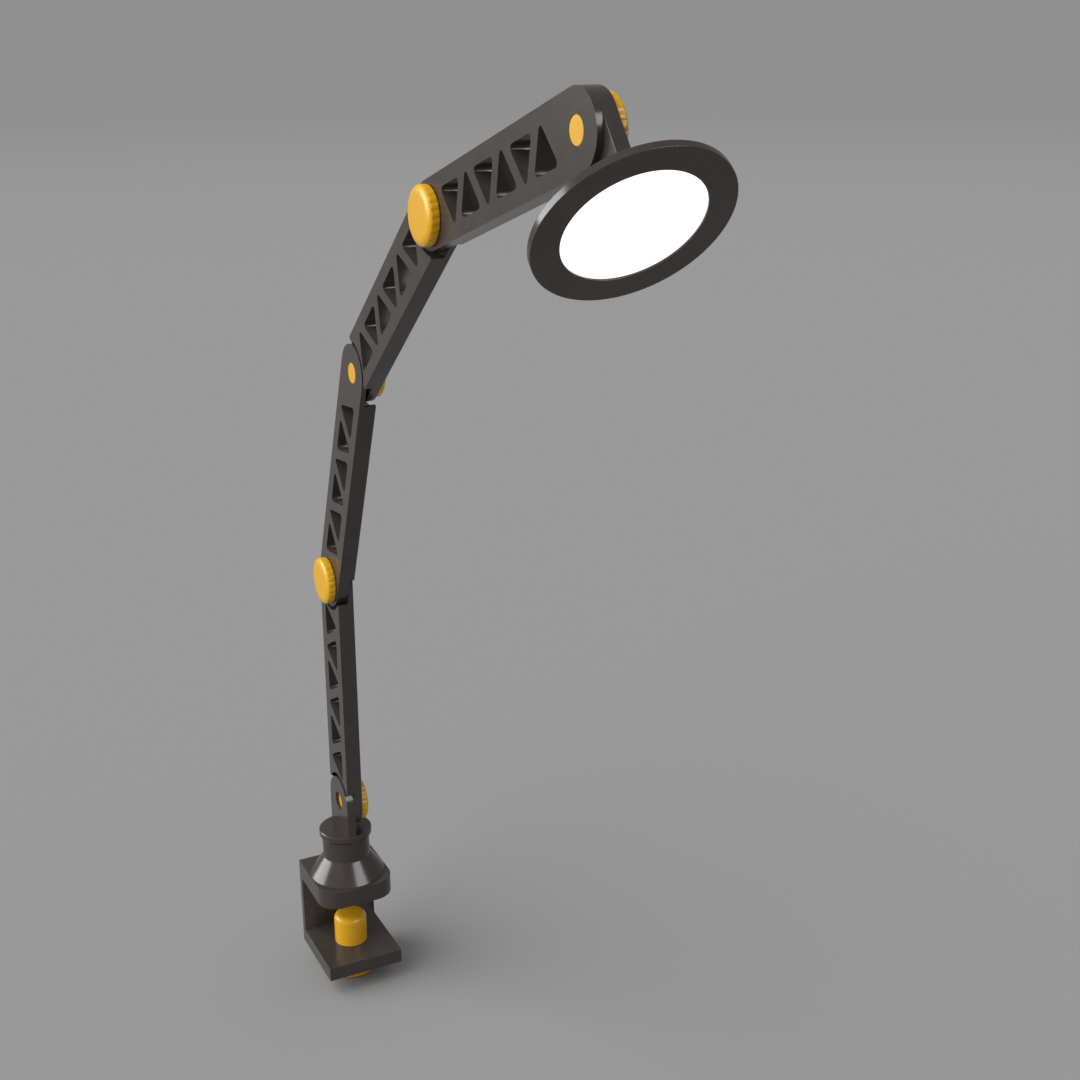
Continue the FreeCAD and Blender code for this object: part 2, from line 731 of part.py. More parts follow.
def lamp_housing():
    """Dished back shell, stepped inside for the LED board."""
    body = new_body("lamp_housing")
    outline = new_sketch(body, "HousingOutline", "XZ_Plane")
    rim = f"{INSIDE_RIM} - fit_gap"
    draw_polygon(outline, [
        ("0", BACK),
        ("head_radius - dome_step - dome_slope", BACK),
        ("head_radius - dome_step", RIM_BACK),
        (rim, RIM_BACK),
        (rim, DIFFUSER_BACK),
        (f"{BOARD_RADIUS} + fit_gap", DIFFUSER_BACK),
        (f"{BOARD_RADIUS} + fit_gap", BOARD_BACK),
        (f"{BOARD_RADIUS} - rear_inset", BOARD_BACK),
        (f"{BOARD_RADIUS} - rear_inset", FLOOR),
        ("0", FLOOR),
    ])
    revolve(body, outline)
    posts = new_sketch(body, "DriverPosts", "XY_Plane", f"{FLOOR} - shell_floor/2")
    for side in ("-1", "1"):
        along = f"{side}*(driver_length/2 - 2*post_radius)"
        draw_circle(posts, along, "driver_offset", "post_radius")
    pad(body, posts, "shell_floor/2 + post_height")
    holes = new_sketch(body, "HousingScrewHoles", "XY_Plane", BACK)
    for side in ("-1", "1"):
        draw_circle(holes, f"{side}*bracket_screw_pitch/2", "0", "bracket_screw_radius + running_gap")
    pocket(body, holes, "shell_floor", reverse=True)
    inlet = new_sketch(body, "InletHole", "XY_Plane", BACK)
    draw_circle(inlet, "inlet_offset", "0", "inlet_radius + running_gap")
    pocket(body, inlet, "dome_height + rim_height - board_depth", reverse=True)
    body.Placement = HEAD_FRAME
    return body


def lamp_bezel():
    """Front ring with the outer wall of the head."""
    body = new_body("lamp_bezel")
    outline = new_sketch(body, "BezelOutline", "XZ_Plane")
    draw_polygon(outline, [
        ("head_radius - ring_width", "head_reach - ring_thickness"),
        (INSIDE_RIM, "head_reach - ring_thickness"),
        (INSIDE_RIM, RIM_BACK),
        ("head_radius", RIM_BACK),
        ("head_radius", FACE),
        ("head_radius - ring_width", FACE),
    ])
    revolve(body, outline)
    body.Placement = HEAD_FRAME
    return body


def head_disc(name, radius, thickness, back):
    """A flat disc in the head, its back at a depth along the head's axis."""
    disc = doc.addObject("Part::Cylinder", name)
    bind(disc, Radius=radius, Height=thickness)
    depth = FreeCAD.Placement(Vector(0, 0, value(back)), FreeCAD.Rotation())
    disc.Placement = HEAD_FRAME.multiply(depth)
    return disc


def reflector():
    """White ring that turns the light of the outer chips to the window."""
    body = new_body("reflector")
    outline = new_sketch(body, "ReflectorOutline", "XZ_Plane")
    draw_polygon(outline, [
        (f"{BOARD_RADIUS} - reflector_width", BOARD_FACE),
        (BOARD_RADIUS, BOARD_FACE),
        (BOARD_RADIUS, DIFFUSER_BACK),
        (f"{BOARD_RADIUS} - reflector_lip", DIFFUSER_BACK),
    ])
    revolve(body, outline)
    body.Placement = HEAD_FRAME
    return body


def led_chips():
    """Two rings of square LED packages on the board."""
    chips = []
    rings = [("Inner", "inner_chips", "inner_circle"), ("Outer", "outer_chips", "outer_circle")]
    for ring, count, circle in rings:
        number = round(value(count))
        for index in range(number):
            angle = 360.0 * index / number
            chip = solid("Part::Box", f"{ring}Chip{index + 1}",
                         (f"{circle}*cos({angle}) - chip_size/2",
                          f"{circle}*sin({angle}) - chip_size/2", BOARD_FACE),
                         Length="chip_size", Width="chip_size", Height="chip_height")
            chips.append(chip)
    chips = group("led_chips", chips)
    chips.Placement = HEAD_FRAME
    return chips


def driver_board():
    """Small current driver: board, choke and chip."""
    foot = f"({FLOOR} + post_height)"
    top = f"({foot} + driver_thickness)"
    board = solid("Part::Box", "DriverPlate", ("-driver_length/2", "driver_offset - driver_width/2", foot),
                  Length="driver_length", Width="driver_width", Height="driver_thickness")
    sunk = f"({top} - driver_thickness/2)"
    choke = solid("Part::Cylinder", "DriverChoke", ("-driver_length/4", "driver_offset", sunk),
                  Radius="choke_radius", Height="choke_height")
    chip = solid("Part::Box", "DriverChip", ("driver_length/8", "driver_offset - choke_radius", sunk),
                 Length="driver_length/4", Width="2*choke_radius", Height="choke_height")
    driver = fuse("driver_board", [board, choke, chip])
    driver.Placement = HEAD_FRAME
    return driver


def power_inlet():
    """Round low-voltage socket in the back of the housing."""
    lip_foot = f"({BACK} - inlet_lip_height)"
    lip = solid("Part::Cylinder", "InletLip", ("inlet_offset", "0", lip_foot),
                Radius="inlet_lip - fit_gap", Height="inlet_lip_height")
    barrel = solid("Part::Cylinder", "InletBarrel", ("inlet_offset", "0", lip_foot),
                   Radius="inlet_radius", Height="inlet_depth + inlet_lip_height")
    bore = solid("Part::Cylinder", "InletBore", ("inlet_offset", "0", lip_foot),
                 Radius="inlet_bore", Height="inlet_depth")
    pin = solid("Part::Cylinder", "InletPin", ("inlet_offset", "0", f"{lip_foot} + inlet_lip_height"),
                Radius="inlet_pin", Height="inlet_depth - inlet_lip_height/2")
    shell = cut("InletShell", fuse("InletBlank", [lip, barrel]), bore)
    inlet = fuse("power_inlet", [shell, pin])
    inlet.Placement = HEAD_FRAME
    return inlet


# ------------------------------------------------------------------ assembly
def build():
    """Every sub-part, in the order in which the lamp goes together."""
    half_ear = "(face_gap/2)"
    wide_ear = "(thin_ear + face_gap - arm_thickness/2)"
    parts = [clamp_frame(), collar(), collar_screws()]
    parts += [swivel_cap(), swivel_washer(), swivel_nut()]
    parts += [pressure_pad(), clamp_screw()]
    for number in (1, 2, 3, 4):
        face = half_ear if number % 2 else wide_ear
        parts.append(truss_arm(f"arm_{number}", face, number))
    parts.append(hinge_spacer())
    through = "(arm_thickness + face_gap)"
    recessed = "(arm_thickness/2 + foot_ear + 1.5*face_gap - tip_recess)"
    for number in (1, 2, 3, 4, 5):
        parts.append(hinge_knob(number, recessed if number == 1 else through))
    parts += [head_bracket(), bracket_screws(), lamp_housing(), lamp_bezel()]
    parts.append(head_disc("diffuser", f"{INSIDE_RIM} - diffuser_margin",
                           "diffuser_thickness", DIFFUSER_BACK))
    parts.append(reflector())
    parts.append(head_disc("led_board", BOARD_RADIUS, "board_thickness", BOARD_BACK))
    parts += [led_chips(), driver_board(), power_inlet()]
    return parts


def check(parts):
    """Stop if any feature failed or any sub-part is not a sound solid."""
    for obj in doc.Objects:
        if "Invalid" in obj.State or "Error" in obj.State:
            raise RuntimeError(f"{obj.Name} failed: {obj.State}")
    for part in parts:
        shape = part.Shape
        if shape.isNull() or not shape.isValid() or not shape.Solids:
            raise RuntimeError(f"{part.Label} is not a valid solid")


def main():
    parts = build()
    doc.recompute()
    check(parts)
    os.makedirs("parts", exist_ok=True)
    for part in parts:
        part.Shape.exportStep(f"parts/{part.Label}.step")
        box = part.Shape.BoundBox
        print(f"{part.Label}: {len(part.Shape.Solids)} solids, {part.Shape.Volume:.0f} mm3, "
              f"z {box.ZMin:.1f} to {box.ZMax:.1f}")


main()
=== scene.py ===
"""Looks of a clamp-on desk lamp with four truss arms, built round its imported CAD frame.

The lamp stands in the CAD frame: +Z up, +X the way it reaches, the origin on the swivel axis at
the underside of the jaw.  Sizes are written in millimetres and turned to metres by MM.
"""

import logging
import math
from collections.abc import Callable, Iterator, Sequence
from contextlib import contextmanager
from dataclasses import dataclass, field
from enum import Enum, IntEnum
from functools import partial

import bmesh
import bpy
from mathutils import Matrix, Vector


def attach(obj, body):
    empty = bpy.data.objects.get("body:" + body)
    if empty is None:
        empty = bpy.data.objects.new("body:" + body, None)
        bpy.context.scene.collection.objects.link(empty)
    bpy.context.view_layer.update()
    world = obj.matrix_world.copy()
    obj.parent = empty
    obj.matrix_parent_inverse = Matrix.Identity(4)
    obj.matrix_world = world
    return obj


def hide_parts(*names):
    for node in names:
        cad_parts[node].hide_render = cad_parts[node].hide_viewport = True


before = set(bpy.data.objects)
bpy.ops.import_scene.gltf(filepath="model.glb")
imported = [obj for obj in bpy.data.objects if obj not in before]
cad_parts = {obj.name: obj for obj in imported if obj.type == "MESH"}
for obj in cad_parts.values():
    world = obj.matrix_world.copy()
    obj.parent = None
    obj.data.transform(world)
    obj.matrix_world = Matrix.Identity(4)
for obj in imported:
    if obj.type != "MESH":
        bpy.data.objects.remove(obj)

MM = 0.001
SMOOTH_ANGLE = math.radians(30)
FLAT_ANGLE = math.radians(0.5)
SAME_POINT = MM / 1000
ALONG = 0.9  # least share of a unit vector that lies along an axis it follows
THROUGH = 40.0  # length in mm of a rod that reaches through any piece
log = logging.getLogger("desk_lamp")

Piece = bpy.types.Object
Tree = bpy.types.NodeTree
Socket = bpy.types.NodeSocket
Point = tuple[float, float]
Limits = tuple[float, float]
Test = Callable[[Vector, Vector], bool]


# ------------------------------------------------------------------ modelling
class Select(Enum):
    """What a click picks in edit mode."""

    CORNER = "VERT"
    EDGE = "EDGE"
    FACE = "FACE"


class Way(Enum):
    """Which way the axis of a round primitive points."""

    UP = (0.0, 0.0, 0.0)
    ACROSS = (math.pi / 2, 0.0, 0.0)


class Sides(IntEnum):
    """How many steps go round a shape, by what it is."""

    SMALL_HOLE = 32
    INLET = 48
    HOLE = 96
    EAR = 128
    TURNED = 160
    BEZEL = 192


def activate(piece: Piece) -> None:
    """Makes a piece the only one selected.

    Args:
        piece: The piece.
    """
    bpy.ops.object.select_all(action="DESELECT")
    piece.select_set(True)
    bpy.context.view_layer.objects.active = piece


def settle(name: str) -> Piece:
    """Names the object that was just added and applies its place to its mesh.

    Args:
        name: Its new name.

    Returns:
        The object.
    """
    piece = bpy.context.object
    piece.name = piece.data.name = name
    activate(piece)
    bpy.ops.object.transform_apply(location=True, rotation=True, scale=True)
    return piece


def pick(piece: Piece, kind: Select, test: Test) -> None:
    """Selects the corners, edges or faces of an open piece that pass a test.

    Args:
        piece: The piece, in edit mode.
        kind: Which of the three are picked.
        test: It is told the middle of each, and its normal or the way that an edge runs.
    """
    mesh = bmesh.from_edit_mesh(piece.data)
    if kind is Select.CORNER:
        measured = [(corner, corner.co, corner.normal) for corner in mesh.verts]
    elif kind is Select.FACE:
        measured = [(face, face.calc_center_median(), face.normal) for face in mesh.faces]
    else:
        ends = [(edge, *(corner.co for corner in edge.verts)) for edge in mesh.edges]
        measured = [(edge, (a + b) / 2, (b - a).normalized()) for edge, a, b in ends]
    for part, middle, way in measured:
        part.select_set(test(middle, way))
    mesh.select_flush_mode()
    bmesh.update_edit_mesh(piece.data)


@contextmanager
def editing(piece: Piece, kind: Select) -> Iterator[Callable[[Test], None]]:
    """Opens a piece in edit mode with nothing picked, and closes it again.

    Args:
        piece: The piece to work on.
        kind: Whether corners, edges or faces are picked.

    Returns:
        A function that picks the ones that pass a test.
    """
    activate(piece)
    bpy.ops.object.mode_set(mode="EDIT")
    bpy.ops.mesh.select_mode(type=kind.value)
    bpy.ops.mesh.select_all(action="DESELECT")
    yield partial(pick, piece, kind)
    bpy.ops.object.mode_set(mode="OBJECT")


def block(name: str, low: Sequence[float], high: Sequence[float]) -> Piece:
    """Adds a rectangular block between two corners.

    Args:
        name: Name of the piece.
        low: Lowest corner, in mm.
        high: Highest corner, in mm.

    Returns:
        The block.
    """
    middle = [(a + b) / 2 * MM for a, b in zip(low, high)]
    size = [(b - a) * MM for a, b in zip(low, high)]
    bpy.ops.mesh.primitive_cube_add(size=1, location=middle, scale=size)
    return settle(name)


def rod(
    name: str,
    radius: float,
    length: float,
    centre: Sequence[float],
    way: Way = Way.UP,
    sides: int = Sides.HOLE,
) -> Piece:
    """Adds a round or many-sided rod.

    Args:
        name: Name of the piece.
        radius: Radius to its corners, in mm.
        length: Length along its axis, in mm.
        centre: Its middle, in mm.
        way: Which way its axis points.
        sides: How many sides it has.

    Returns:
        The rod.
    """
    bpy.ops.mesh.primitive_cylinder_add(
        vertices=sides,
        radius=radius * MM,
        depth=length * MM,
        location=[value * MM for value in centre],
        rotation=way.value,
    )
    return settle(name)


def turn(
    name: str, outline: Sequence[Point], sides: int = Sides.EAR, ring: bool = False
) -> Piece:
    """Makes a turned piece by drawing a circle out along an outline.

    Args:
        name: Name of the piece.
        outline: Radius and height of each point, in mm, from the foot round to the top.
        sides: How many steps go round.
        ring: Whether it has a hole through it, so that the outline ends where it starts.

    Returns:
        The piece, standing on the Z axis.
    """
    radius, height = outline[0]
    bpy.ops.mesh.primitive_circle_add(
        vertices=sides,
        radius=radius * MM,
        fill_type="NOTHING" if ring else "NGON",
        location=(0, 0, height * MM),
    )
    piece = settle(name)
    with editing(piece, Select.EDGE if ring else Select.FACE):
        bpy.ops.mesh.select_all(action="SELECT")
        for wide, high in outline[1:]:
            bpy.ops.mesh.extrude_region_move(
                TRANSFORM_OT_translate={"value": (0, 0, (high - height) * MM)}
            )
            share = wide / radius
            bpy.ops.transform.resize(
                value=(share, share, 1), center_override=(0, 0, high * MM)
            )
            radius, height = wide, high
        bpy.ops.mesh.select_all(action="SELECT")
        bpy.ops.mesh.remove_doubles(threshold=SAME_POINT)
        bpy.ops.mesh.normals_make_consistent(inside=False)
    return piece


class Joining(Enum):
    """What a second shape does to a piece."""

    CUT = "DIFFERENCE"
    WELD = "UNION"


def combine(piece: Piece, tool: Piece, joining: Joining = Joining.CUT) -> None:
    """Cuts a shape from a piece or welds it on, and clears the shape away.

    Args:
        piece: The piece that stays.
        tool: The shape that is used up.
        joining: Cut or weld.
    """
    activate(piece)
    change = piece.modifiers.new("combine", "BOOLEAN")
    change.object = tool
    change.operation = joining.value
    change.solver = "EXACT"
    bpy.ops.object.modifier_apply(modifier=change.name)
    bpy.data.objects.remove(tool)


def soften(piece: Piece, width: float, steps: int = 2) -> Piece:
    """Rounds every sharp edge a little, as a mould does, and shades the piece smooth.

    Args:
        piece: The piece.
        width: Width of the rounding, in mm.
        steps: How many faces go round an edge.

    Returns:
        The same piece.
    """
    activate(piece)
    bpy.ops.object.shade_smooth_by_angle(angle=SMOOTH_ANGLE)
    edges = piece.modifiers.new("edges", "BEVEL")
    edges.width = width * MM
    edges.segments = steps
    edges.limit_method = "ANGLE"
    edges.angle_limit = SMOOTH_ANGLE
    edges.harden_normals = True
    bpy.ops.object.modifier_apply(modifier=edges.name)
    return piece


def duplicate(piece: Piece, name: str) -> Piece:
    """Copies a piece with a mesh of its own.

    Args:
        piece: The piece that is copied.
        name: Name of the copy.

    Returns:
        The copy.
    """
    activate(piece)
    bpy.ops.object.duplicate()
    return settle(name)


def arc(centre: Point, radius: float, start: float, end: float, steps: int) -> list[Point]:
    """Points of a rounded corner in an outline.

    Args:
        centre: Radius and height of the arc's centre, in mm.
        radius: Radius of the arc, in mm.
        start: Angle of its first point, in degrees, from outwards towards up.
        end: Angle of its last point.
        steps: How many runs it has.

    Returns:
        Its points in order.
    """
    angles = [math.radians(start + (end - start) * step / steps) for step in range(steps + 1)]
    return [
        (centre[0] + radius * math.cos(angle), centre[1] + radius * math.sin(angle))
        for angle in angles
    ]


# ------------------------------------------------------------------- finishes
def linear(colour: str) -> tuple[float, float, float, float]:
    """Turns an sRGB hex colour to linear light.

    Args:
        colour: Six hex digits after a hash sign.

    Returns:
        Red, green, blue and an alpha of one.
    """
    shares = [int(colour[place:place + 2], 16) / 255 for place in (1, 3, 5)]
    red, green, blue = (
        share / 12.92 if share <= 0.04045 else ((share + 0.055) / 1.055) ** 2.4
        for share in shares
    )
    return red, green, blue, 1.0


def add_node(
    tree: Tree,
    kind: str,
    inputs: dict[str | int, object] | None = None,
    **settings: object,
) -> bpy.types.Node:
    """Adds a shader node with its settings and links.

    Args:
        tree: The node tree it goes in.
        kind: Type of the node.
        inputs: For each input, by name or number, a value or another node's output.
        **settings: Properties of the node itself.

    Returns:
        The new node.
    """
    node = tree.nodes.new(kind)
    for name, setting in settings.items():
        setattr(node, name, setting)
    for name, given in (inputs or {}).items():
        if isinstance(given, Socket):
            tree.links.new(given, node.inputs[name])
        else:
            node.inputs[name].default_value = given
    return node


def noise(tree: Tree, width: float, detail: float, distortion: float = 0.0) -> Socket:
    """Adds a cloudy pattern that is fixed to the piece.

    Args:
        tree: The node tree it goes in.
        width: Width of its features, in mm.
        detail: How many finer layers it has.
        distortion: How far it is pulled about.

    Returns:
        Its value, about 0 to 1.
    """
    inputs = {
        "Vector": add_node(tree, "ShaderNodeTexCoord").outputs["Object"],
        "Scale": 1 / (width * MM),
        "Detail": detail,
        "Distortion": distortion,
    }
    return add_node(tree, "ShaderNodeTexNoise", inputs).outputs[0]


def remap(
    tree: Tree, value: Socket, source: Limits, target: Limits, curve: str = "LINEAR"
) -> Socket:
    """Stretches a value from one range to another.

    Args:
        tree: The node tree.
        value: The value.
        source: The range it is taken from; beyond this it stays at the limit.
        target: The range it is brought to.
        curve: How it runs between the limits.

    Returns:
        The new value.
    """
    names = ("From Min", "From Max", "To Min", "To Max")
    inputs = {"Value": value, **dict(zip(names, (*source, *target)))}
    return add_node(tree, "ShaderNodeMapRange", inputs, interpolation_type=curve).outputs[0]


def mingle(tree: Tree, share: Socket, first: object, second: object) -> Socket:
    """Mixes two colours or other nodes' outputs; share says how much of the second there is."""
    inputs = {0: share, 6: first, 7: second}
    return add_node(tree, "ShaderNodeMix", inputs, data_type="RGBA").outputs[2]


def blank(name: str) -> tuple[bpy.types.Material, Tree]:
    """Starts a material with nothing in it.

    Args:
        name: Name of the material.

    Returns:
        The material and its node tree.
    """
    material = bpy.data.materials.new(name)
    material.use_nodes = True
    material.node_tree.nodes.clear()
    return material, material.node_tree


def coat(tree: Tree, kind: str, inputs: dict[str | int, object]) -> None:
    """Adds the shader that light meets and makes it the material's surface."""
    shader = add_node(tree, kind, inputs)
    add_node(tree, "ShaderNodeOutputMaterial", {"Surface": shader.outputs[0]})


FULL: Limits = (0.0, 1.0)
PRINCIPLED = "ShaderNodeBsdfPrincipled"


@dataclass(frozen=True)
class MouldedAbs:
    """Coloured ABS from a fine spark-eroded mould.

    It has a soft gloss that breaks up a little in the grain, faint lighter flow marks where the
    melt met, and a painted highlight: its edges are coloured lighter, as where light catches a
    rounded edge.  The real grain is 0.2 mm wide, too fine to show, so it is drawn at the
    grain_width given.
    """

    name: str
    colour: str
    flow_colour: str
    # Painted highlight: the edge colour and its limits below colour the rounded edges lighter, as
    # where light catches them.
    edge_highlight_colour: str
    roughness: float
    gloss: float = 0.5
    grain_width: float = 0.9
    grain_depth: float = 0.008
    grain_limits: Limits = (0.3, 0.7)
    flow_width: float = 26.0
    flow_limits: Limits = (0.35, 0.75)
    edge_highlight_width: float = 0.5
    edge_highlight_limits: Limits = (0.98, 0.80)
    smoother: float = 0.03
    rougher: float = 0.05
    ior: float = 1.5

    def make(self) -> bpy.types.Material:
        """Builds the node tree of the plastic.

        Returns:
            The material.
        """
        material, tree = blank(self.name)
        flow = noise(tree, self.flow_width, detail=3.0, distortion=1.2)
        flowed = remap(tree, flow, self.flow_limits, FULL)
        body = mingle(tree, flowed, linear(self.colour), linear(self.flow_colour))
        # Painted highlight: where the bevelled normal turns away from the face's own normal, the
        # colour goes over to the lighter edge colour.
        bevel = add_node(tree, "ShaderNodeBevel", {"Radius": self.edge_highlight_width * MM}, samples=4)
        normal = add_node(tree, "ShaderNodeNewGeometry").outputs["Normal"]
        agreement = add_node(
            tree, "ShaderNodeVectorMath", {0: bevel.outputs[0], 1: normal}, operation="DOT_PRODUCT"
        )
        painted_edge_highlight = remap(tree, agreement.outputs["Value"], self.edge_highlight_limits, FULL)
        grain = noise(tree, self.grain_width, detail=2.0)
        spread = (self.roughness - self.smoother, self.roughness + self.rougher)
        depth = {"Height": grain, "Distance": self.grain_depth * MM}
        coat(
            tree,
            PRINCIPLED,
            {
                "Base Color": mingle(tree, painted_edge_highlight, body, linear(self.edge_highlight_colour)),
                "Roughness": remap(tree, grain, self.grain_limits, spread),
                "Normal": add_node(tree, "ShaderNodeBump", depth).outputs[0],
                "IOR": self.ior,
                "Specular IOR Level": self.gloss,
            },
        )
        return material


@dataclass(frozen=True)
class OpalAcrylic:
    """Opal PMMA sheet, lit from behind, which the eye sees as one even white."""

    name: str
    colour: str
    glow: float
    clouding: float = 9.0
    roughness: Limits = (0.36, 0.46)
    ior: float = 1.49

    def make(self) -> bpy.types.Material:
        """Builds the node tree of the sheet.

        Returns:
            The material.
        """
        material, tree = blank(self.name)
        cloud = noise(tree, self.clouding, detail=2.0)
        coat(
            tree,
            PRINCIPLED,
            {
                "Base Color": linear(self.colour),
                "Roughness": remap(tree, cloud, FULL, self.roughness),
                "IOR": self.ior,
                "Emission Color": linear(self.colour),
                "Emission Strength": self.glow,
            },
        )
        return material


@dataclass(frozen=True)
class MottledFinish:
    """A finish of one colour that clouds a little towards another colour.

    It serves the small parts inside: zinc-plated steel, white polycarbonate, solder mask on
    aluminium, phosphor in silicone, and black nylon.
    """

    name: str
    colour: str
    cloud_colour: str
    cloud_width: float
    roughness: float
    metal: float = 0.0
    relief: float = 0.01
    variation: float = 0.05

    def make(self) -> bpy.types.Material:
        """Builds the node tree of the finish.

        Returns:
            The material.
        """
        material, tree = blank(self.name)
        cloud = noise(tree, self.cloud_width, detail=4.0)
        spread = (self.roughness - self.variation, self.roughness + self.variation)
        depth = {"Height": cloud, "Distance": self.relief * MM}
        coat(
            tree,
            PRINCIPLED,
            {
                "Base Color": mingle(tree, cloud, linear(self.colour), linear(self.cloud_colour)),
                "Metallic": self.metal,
                "Roughness": remap(tree, cloud, FULL, spread),
                "Normal": add_node(tree, "ShaderNodeBump", depth).outputs[0],
            },
        )
        return material


class Finish(Enum):
    """The record's material slots, each with the finish that stands for it."""

    # The third colour of each plastic is its painted edge highlight.
    charcoal_plastic = MouldedAbs(
        "charcoal_abs_moulded", "#3e3836", "#453f3c", "#56504d", roughness=0.2, gloss=0.38
    )
    yellow_plastic = MouldedAbs(
        "yellow_abs_moulded",
        "#e8ae1c",
        "#ebb226",
        "#f0be3e",
        roughness=0.3,
        gloss=0.35,
        grain_depth=0.003,
    )
    opal_diffuser = OpalAcrylic("opal_acrylic_lit", "#ffffff", glow=1.0)
    white_reflector = MottledFinish(
        "white_polycarbonate_moulded", "#f2f2ee", "#e9e9e4", 6.0, 0.35
    )
    board_aluminium = MottledFinish(
        "white_solder_mask_on_aluminium", "#eceeea", "#e2e5e0", 3.0, 0.42
    )
    led_package = MottledFinish("phosphor_in_silicone", "#f0d878", "#e8c85c", 0.8, 0.3)
    circuit_board = MottledFinish("green_solder_mask_printed", "#1f5a3a", "#2b6d49", 1.6, 0.38)
    screw_steel = MottledFinish(
        "zinc_plated_steel_rolled", "#b9bcc0", "#9da1a6", 0.9, 0.3, metal=1.0
    )
    socket_black = MottledFinish("black_nylon_moulded", "#1b1b1c", "#242425", 1.2, 0.45)


class Paint:
    """Makes each finish once and gives it to the pieces."""

    def __init__(self) -> None:
        """Starts with no finish made."""
        self.made: dict[Finish, bpy.types.Material] = {}

    def dress(self, piece: Piece, finish: Finish) -> None:
        """Gives a piece its finish in every material slot.

        Args:
            piece: A new piece or a CAD node.
            finish: The finish.
        """
        if finish not in self.made:
            self.made[finish] = finish.value.make()
        if not piece.material_slots:
            piece.data.materials.append(self.made[finish])
        for slot in piece.material_slots:
            slot.material = self.made[finish]


# ------------------------------------------------------------------ the frame
@dataclass(frozen=True)
class Chain:
    """Where the hinges lie and how the arms lean at rest, in mm and degrees."""

    pitch: float = 160.0
    first_hinge: float = 66.5
    offset: float = 2.0
    tilts: tuple[float, ...] = (1.0, 23.3, 50.6, 72.7)
    head_tilt: float = 41.6

    def hinge(self, number: int) -> Vector:
        """Place of a hinge.

        Args:
            number: Which hinge, 1 to 5 from the clamp up.

        Returns:
            Its middle, in metres.
        """
        point = Vector((0, self.offset, self.first_hinge))
        for tilt in self.tilts[:number - 1]:
            lean = math.radians(tilt)
            point += Vector((math.sin(lean), 0, math.cos(lean))) * self.pitch
        return point * MM

    def arm_frame(self, number: int) -> Matrix:
        """Frame of an arm.

        Args:
            number: Which arm, 1 to 4 from the clamp up.

        Returns:
            A frame that stands up from its lower hinge, every second one turned round.
        """
        lean = Matrix.Rotation(math.radians(self.tilts[number - 1]), 4, "Y")
        turned = Matrix.Rotation(math.pi if number % 2 == 0 else 0.0, 4, "Z")
        return Matrix.Translation(self.hinge(number)) @ lean @ turned

    def head_frame(self) -> Matrix:
        """Frame of the head: its Z axis runs from the last hinge out through the lamp's face."""
        lean = Matrix.Rotation(math.radians(90 + self.head_tilt), 4, "Y")
        return Matrix.Translation(self.hinge(5)) @ lean


CHAIN = Chain()


@dataclass
class Assembly:
    """A group of pieces, which knows how to hand each one over to the frame."""

    paint: Paint

    def hand_over(
        self,
        piece: Piece,
        body: str,
        finish: Finish,
        replaced: str,
        place: Matrix | None = None,
    ) -> None:
        """Puts a piece in its place, dresses it and lets it ride.

        Args:
            piece: The finished piece.
            body: CAD body that it moves with.
            finish: Its finish.
            replaced: CAD node that it stands for.
            place: Where its own frame lies; none if it was modelled in place.
        """
        activate(piece)
        if place is not None:
            piece.matrix_world = place
            bpy.ops.object.transform_apply(location=True, rotation=True, scale=True)
        self.paint.dress(piece, finish)
        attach(piece, body)
        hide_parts(replaced)
        log.info("%s: %d faces, rides on %s", piece.name, len(piece.data.polygons), body)


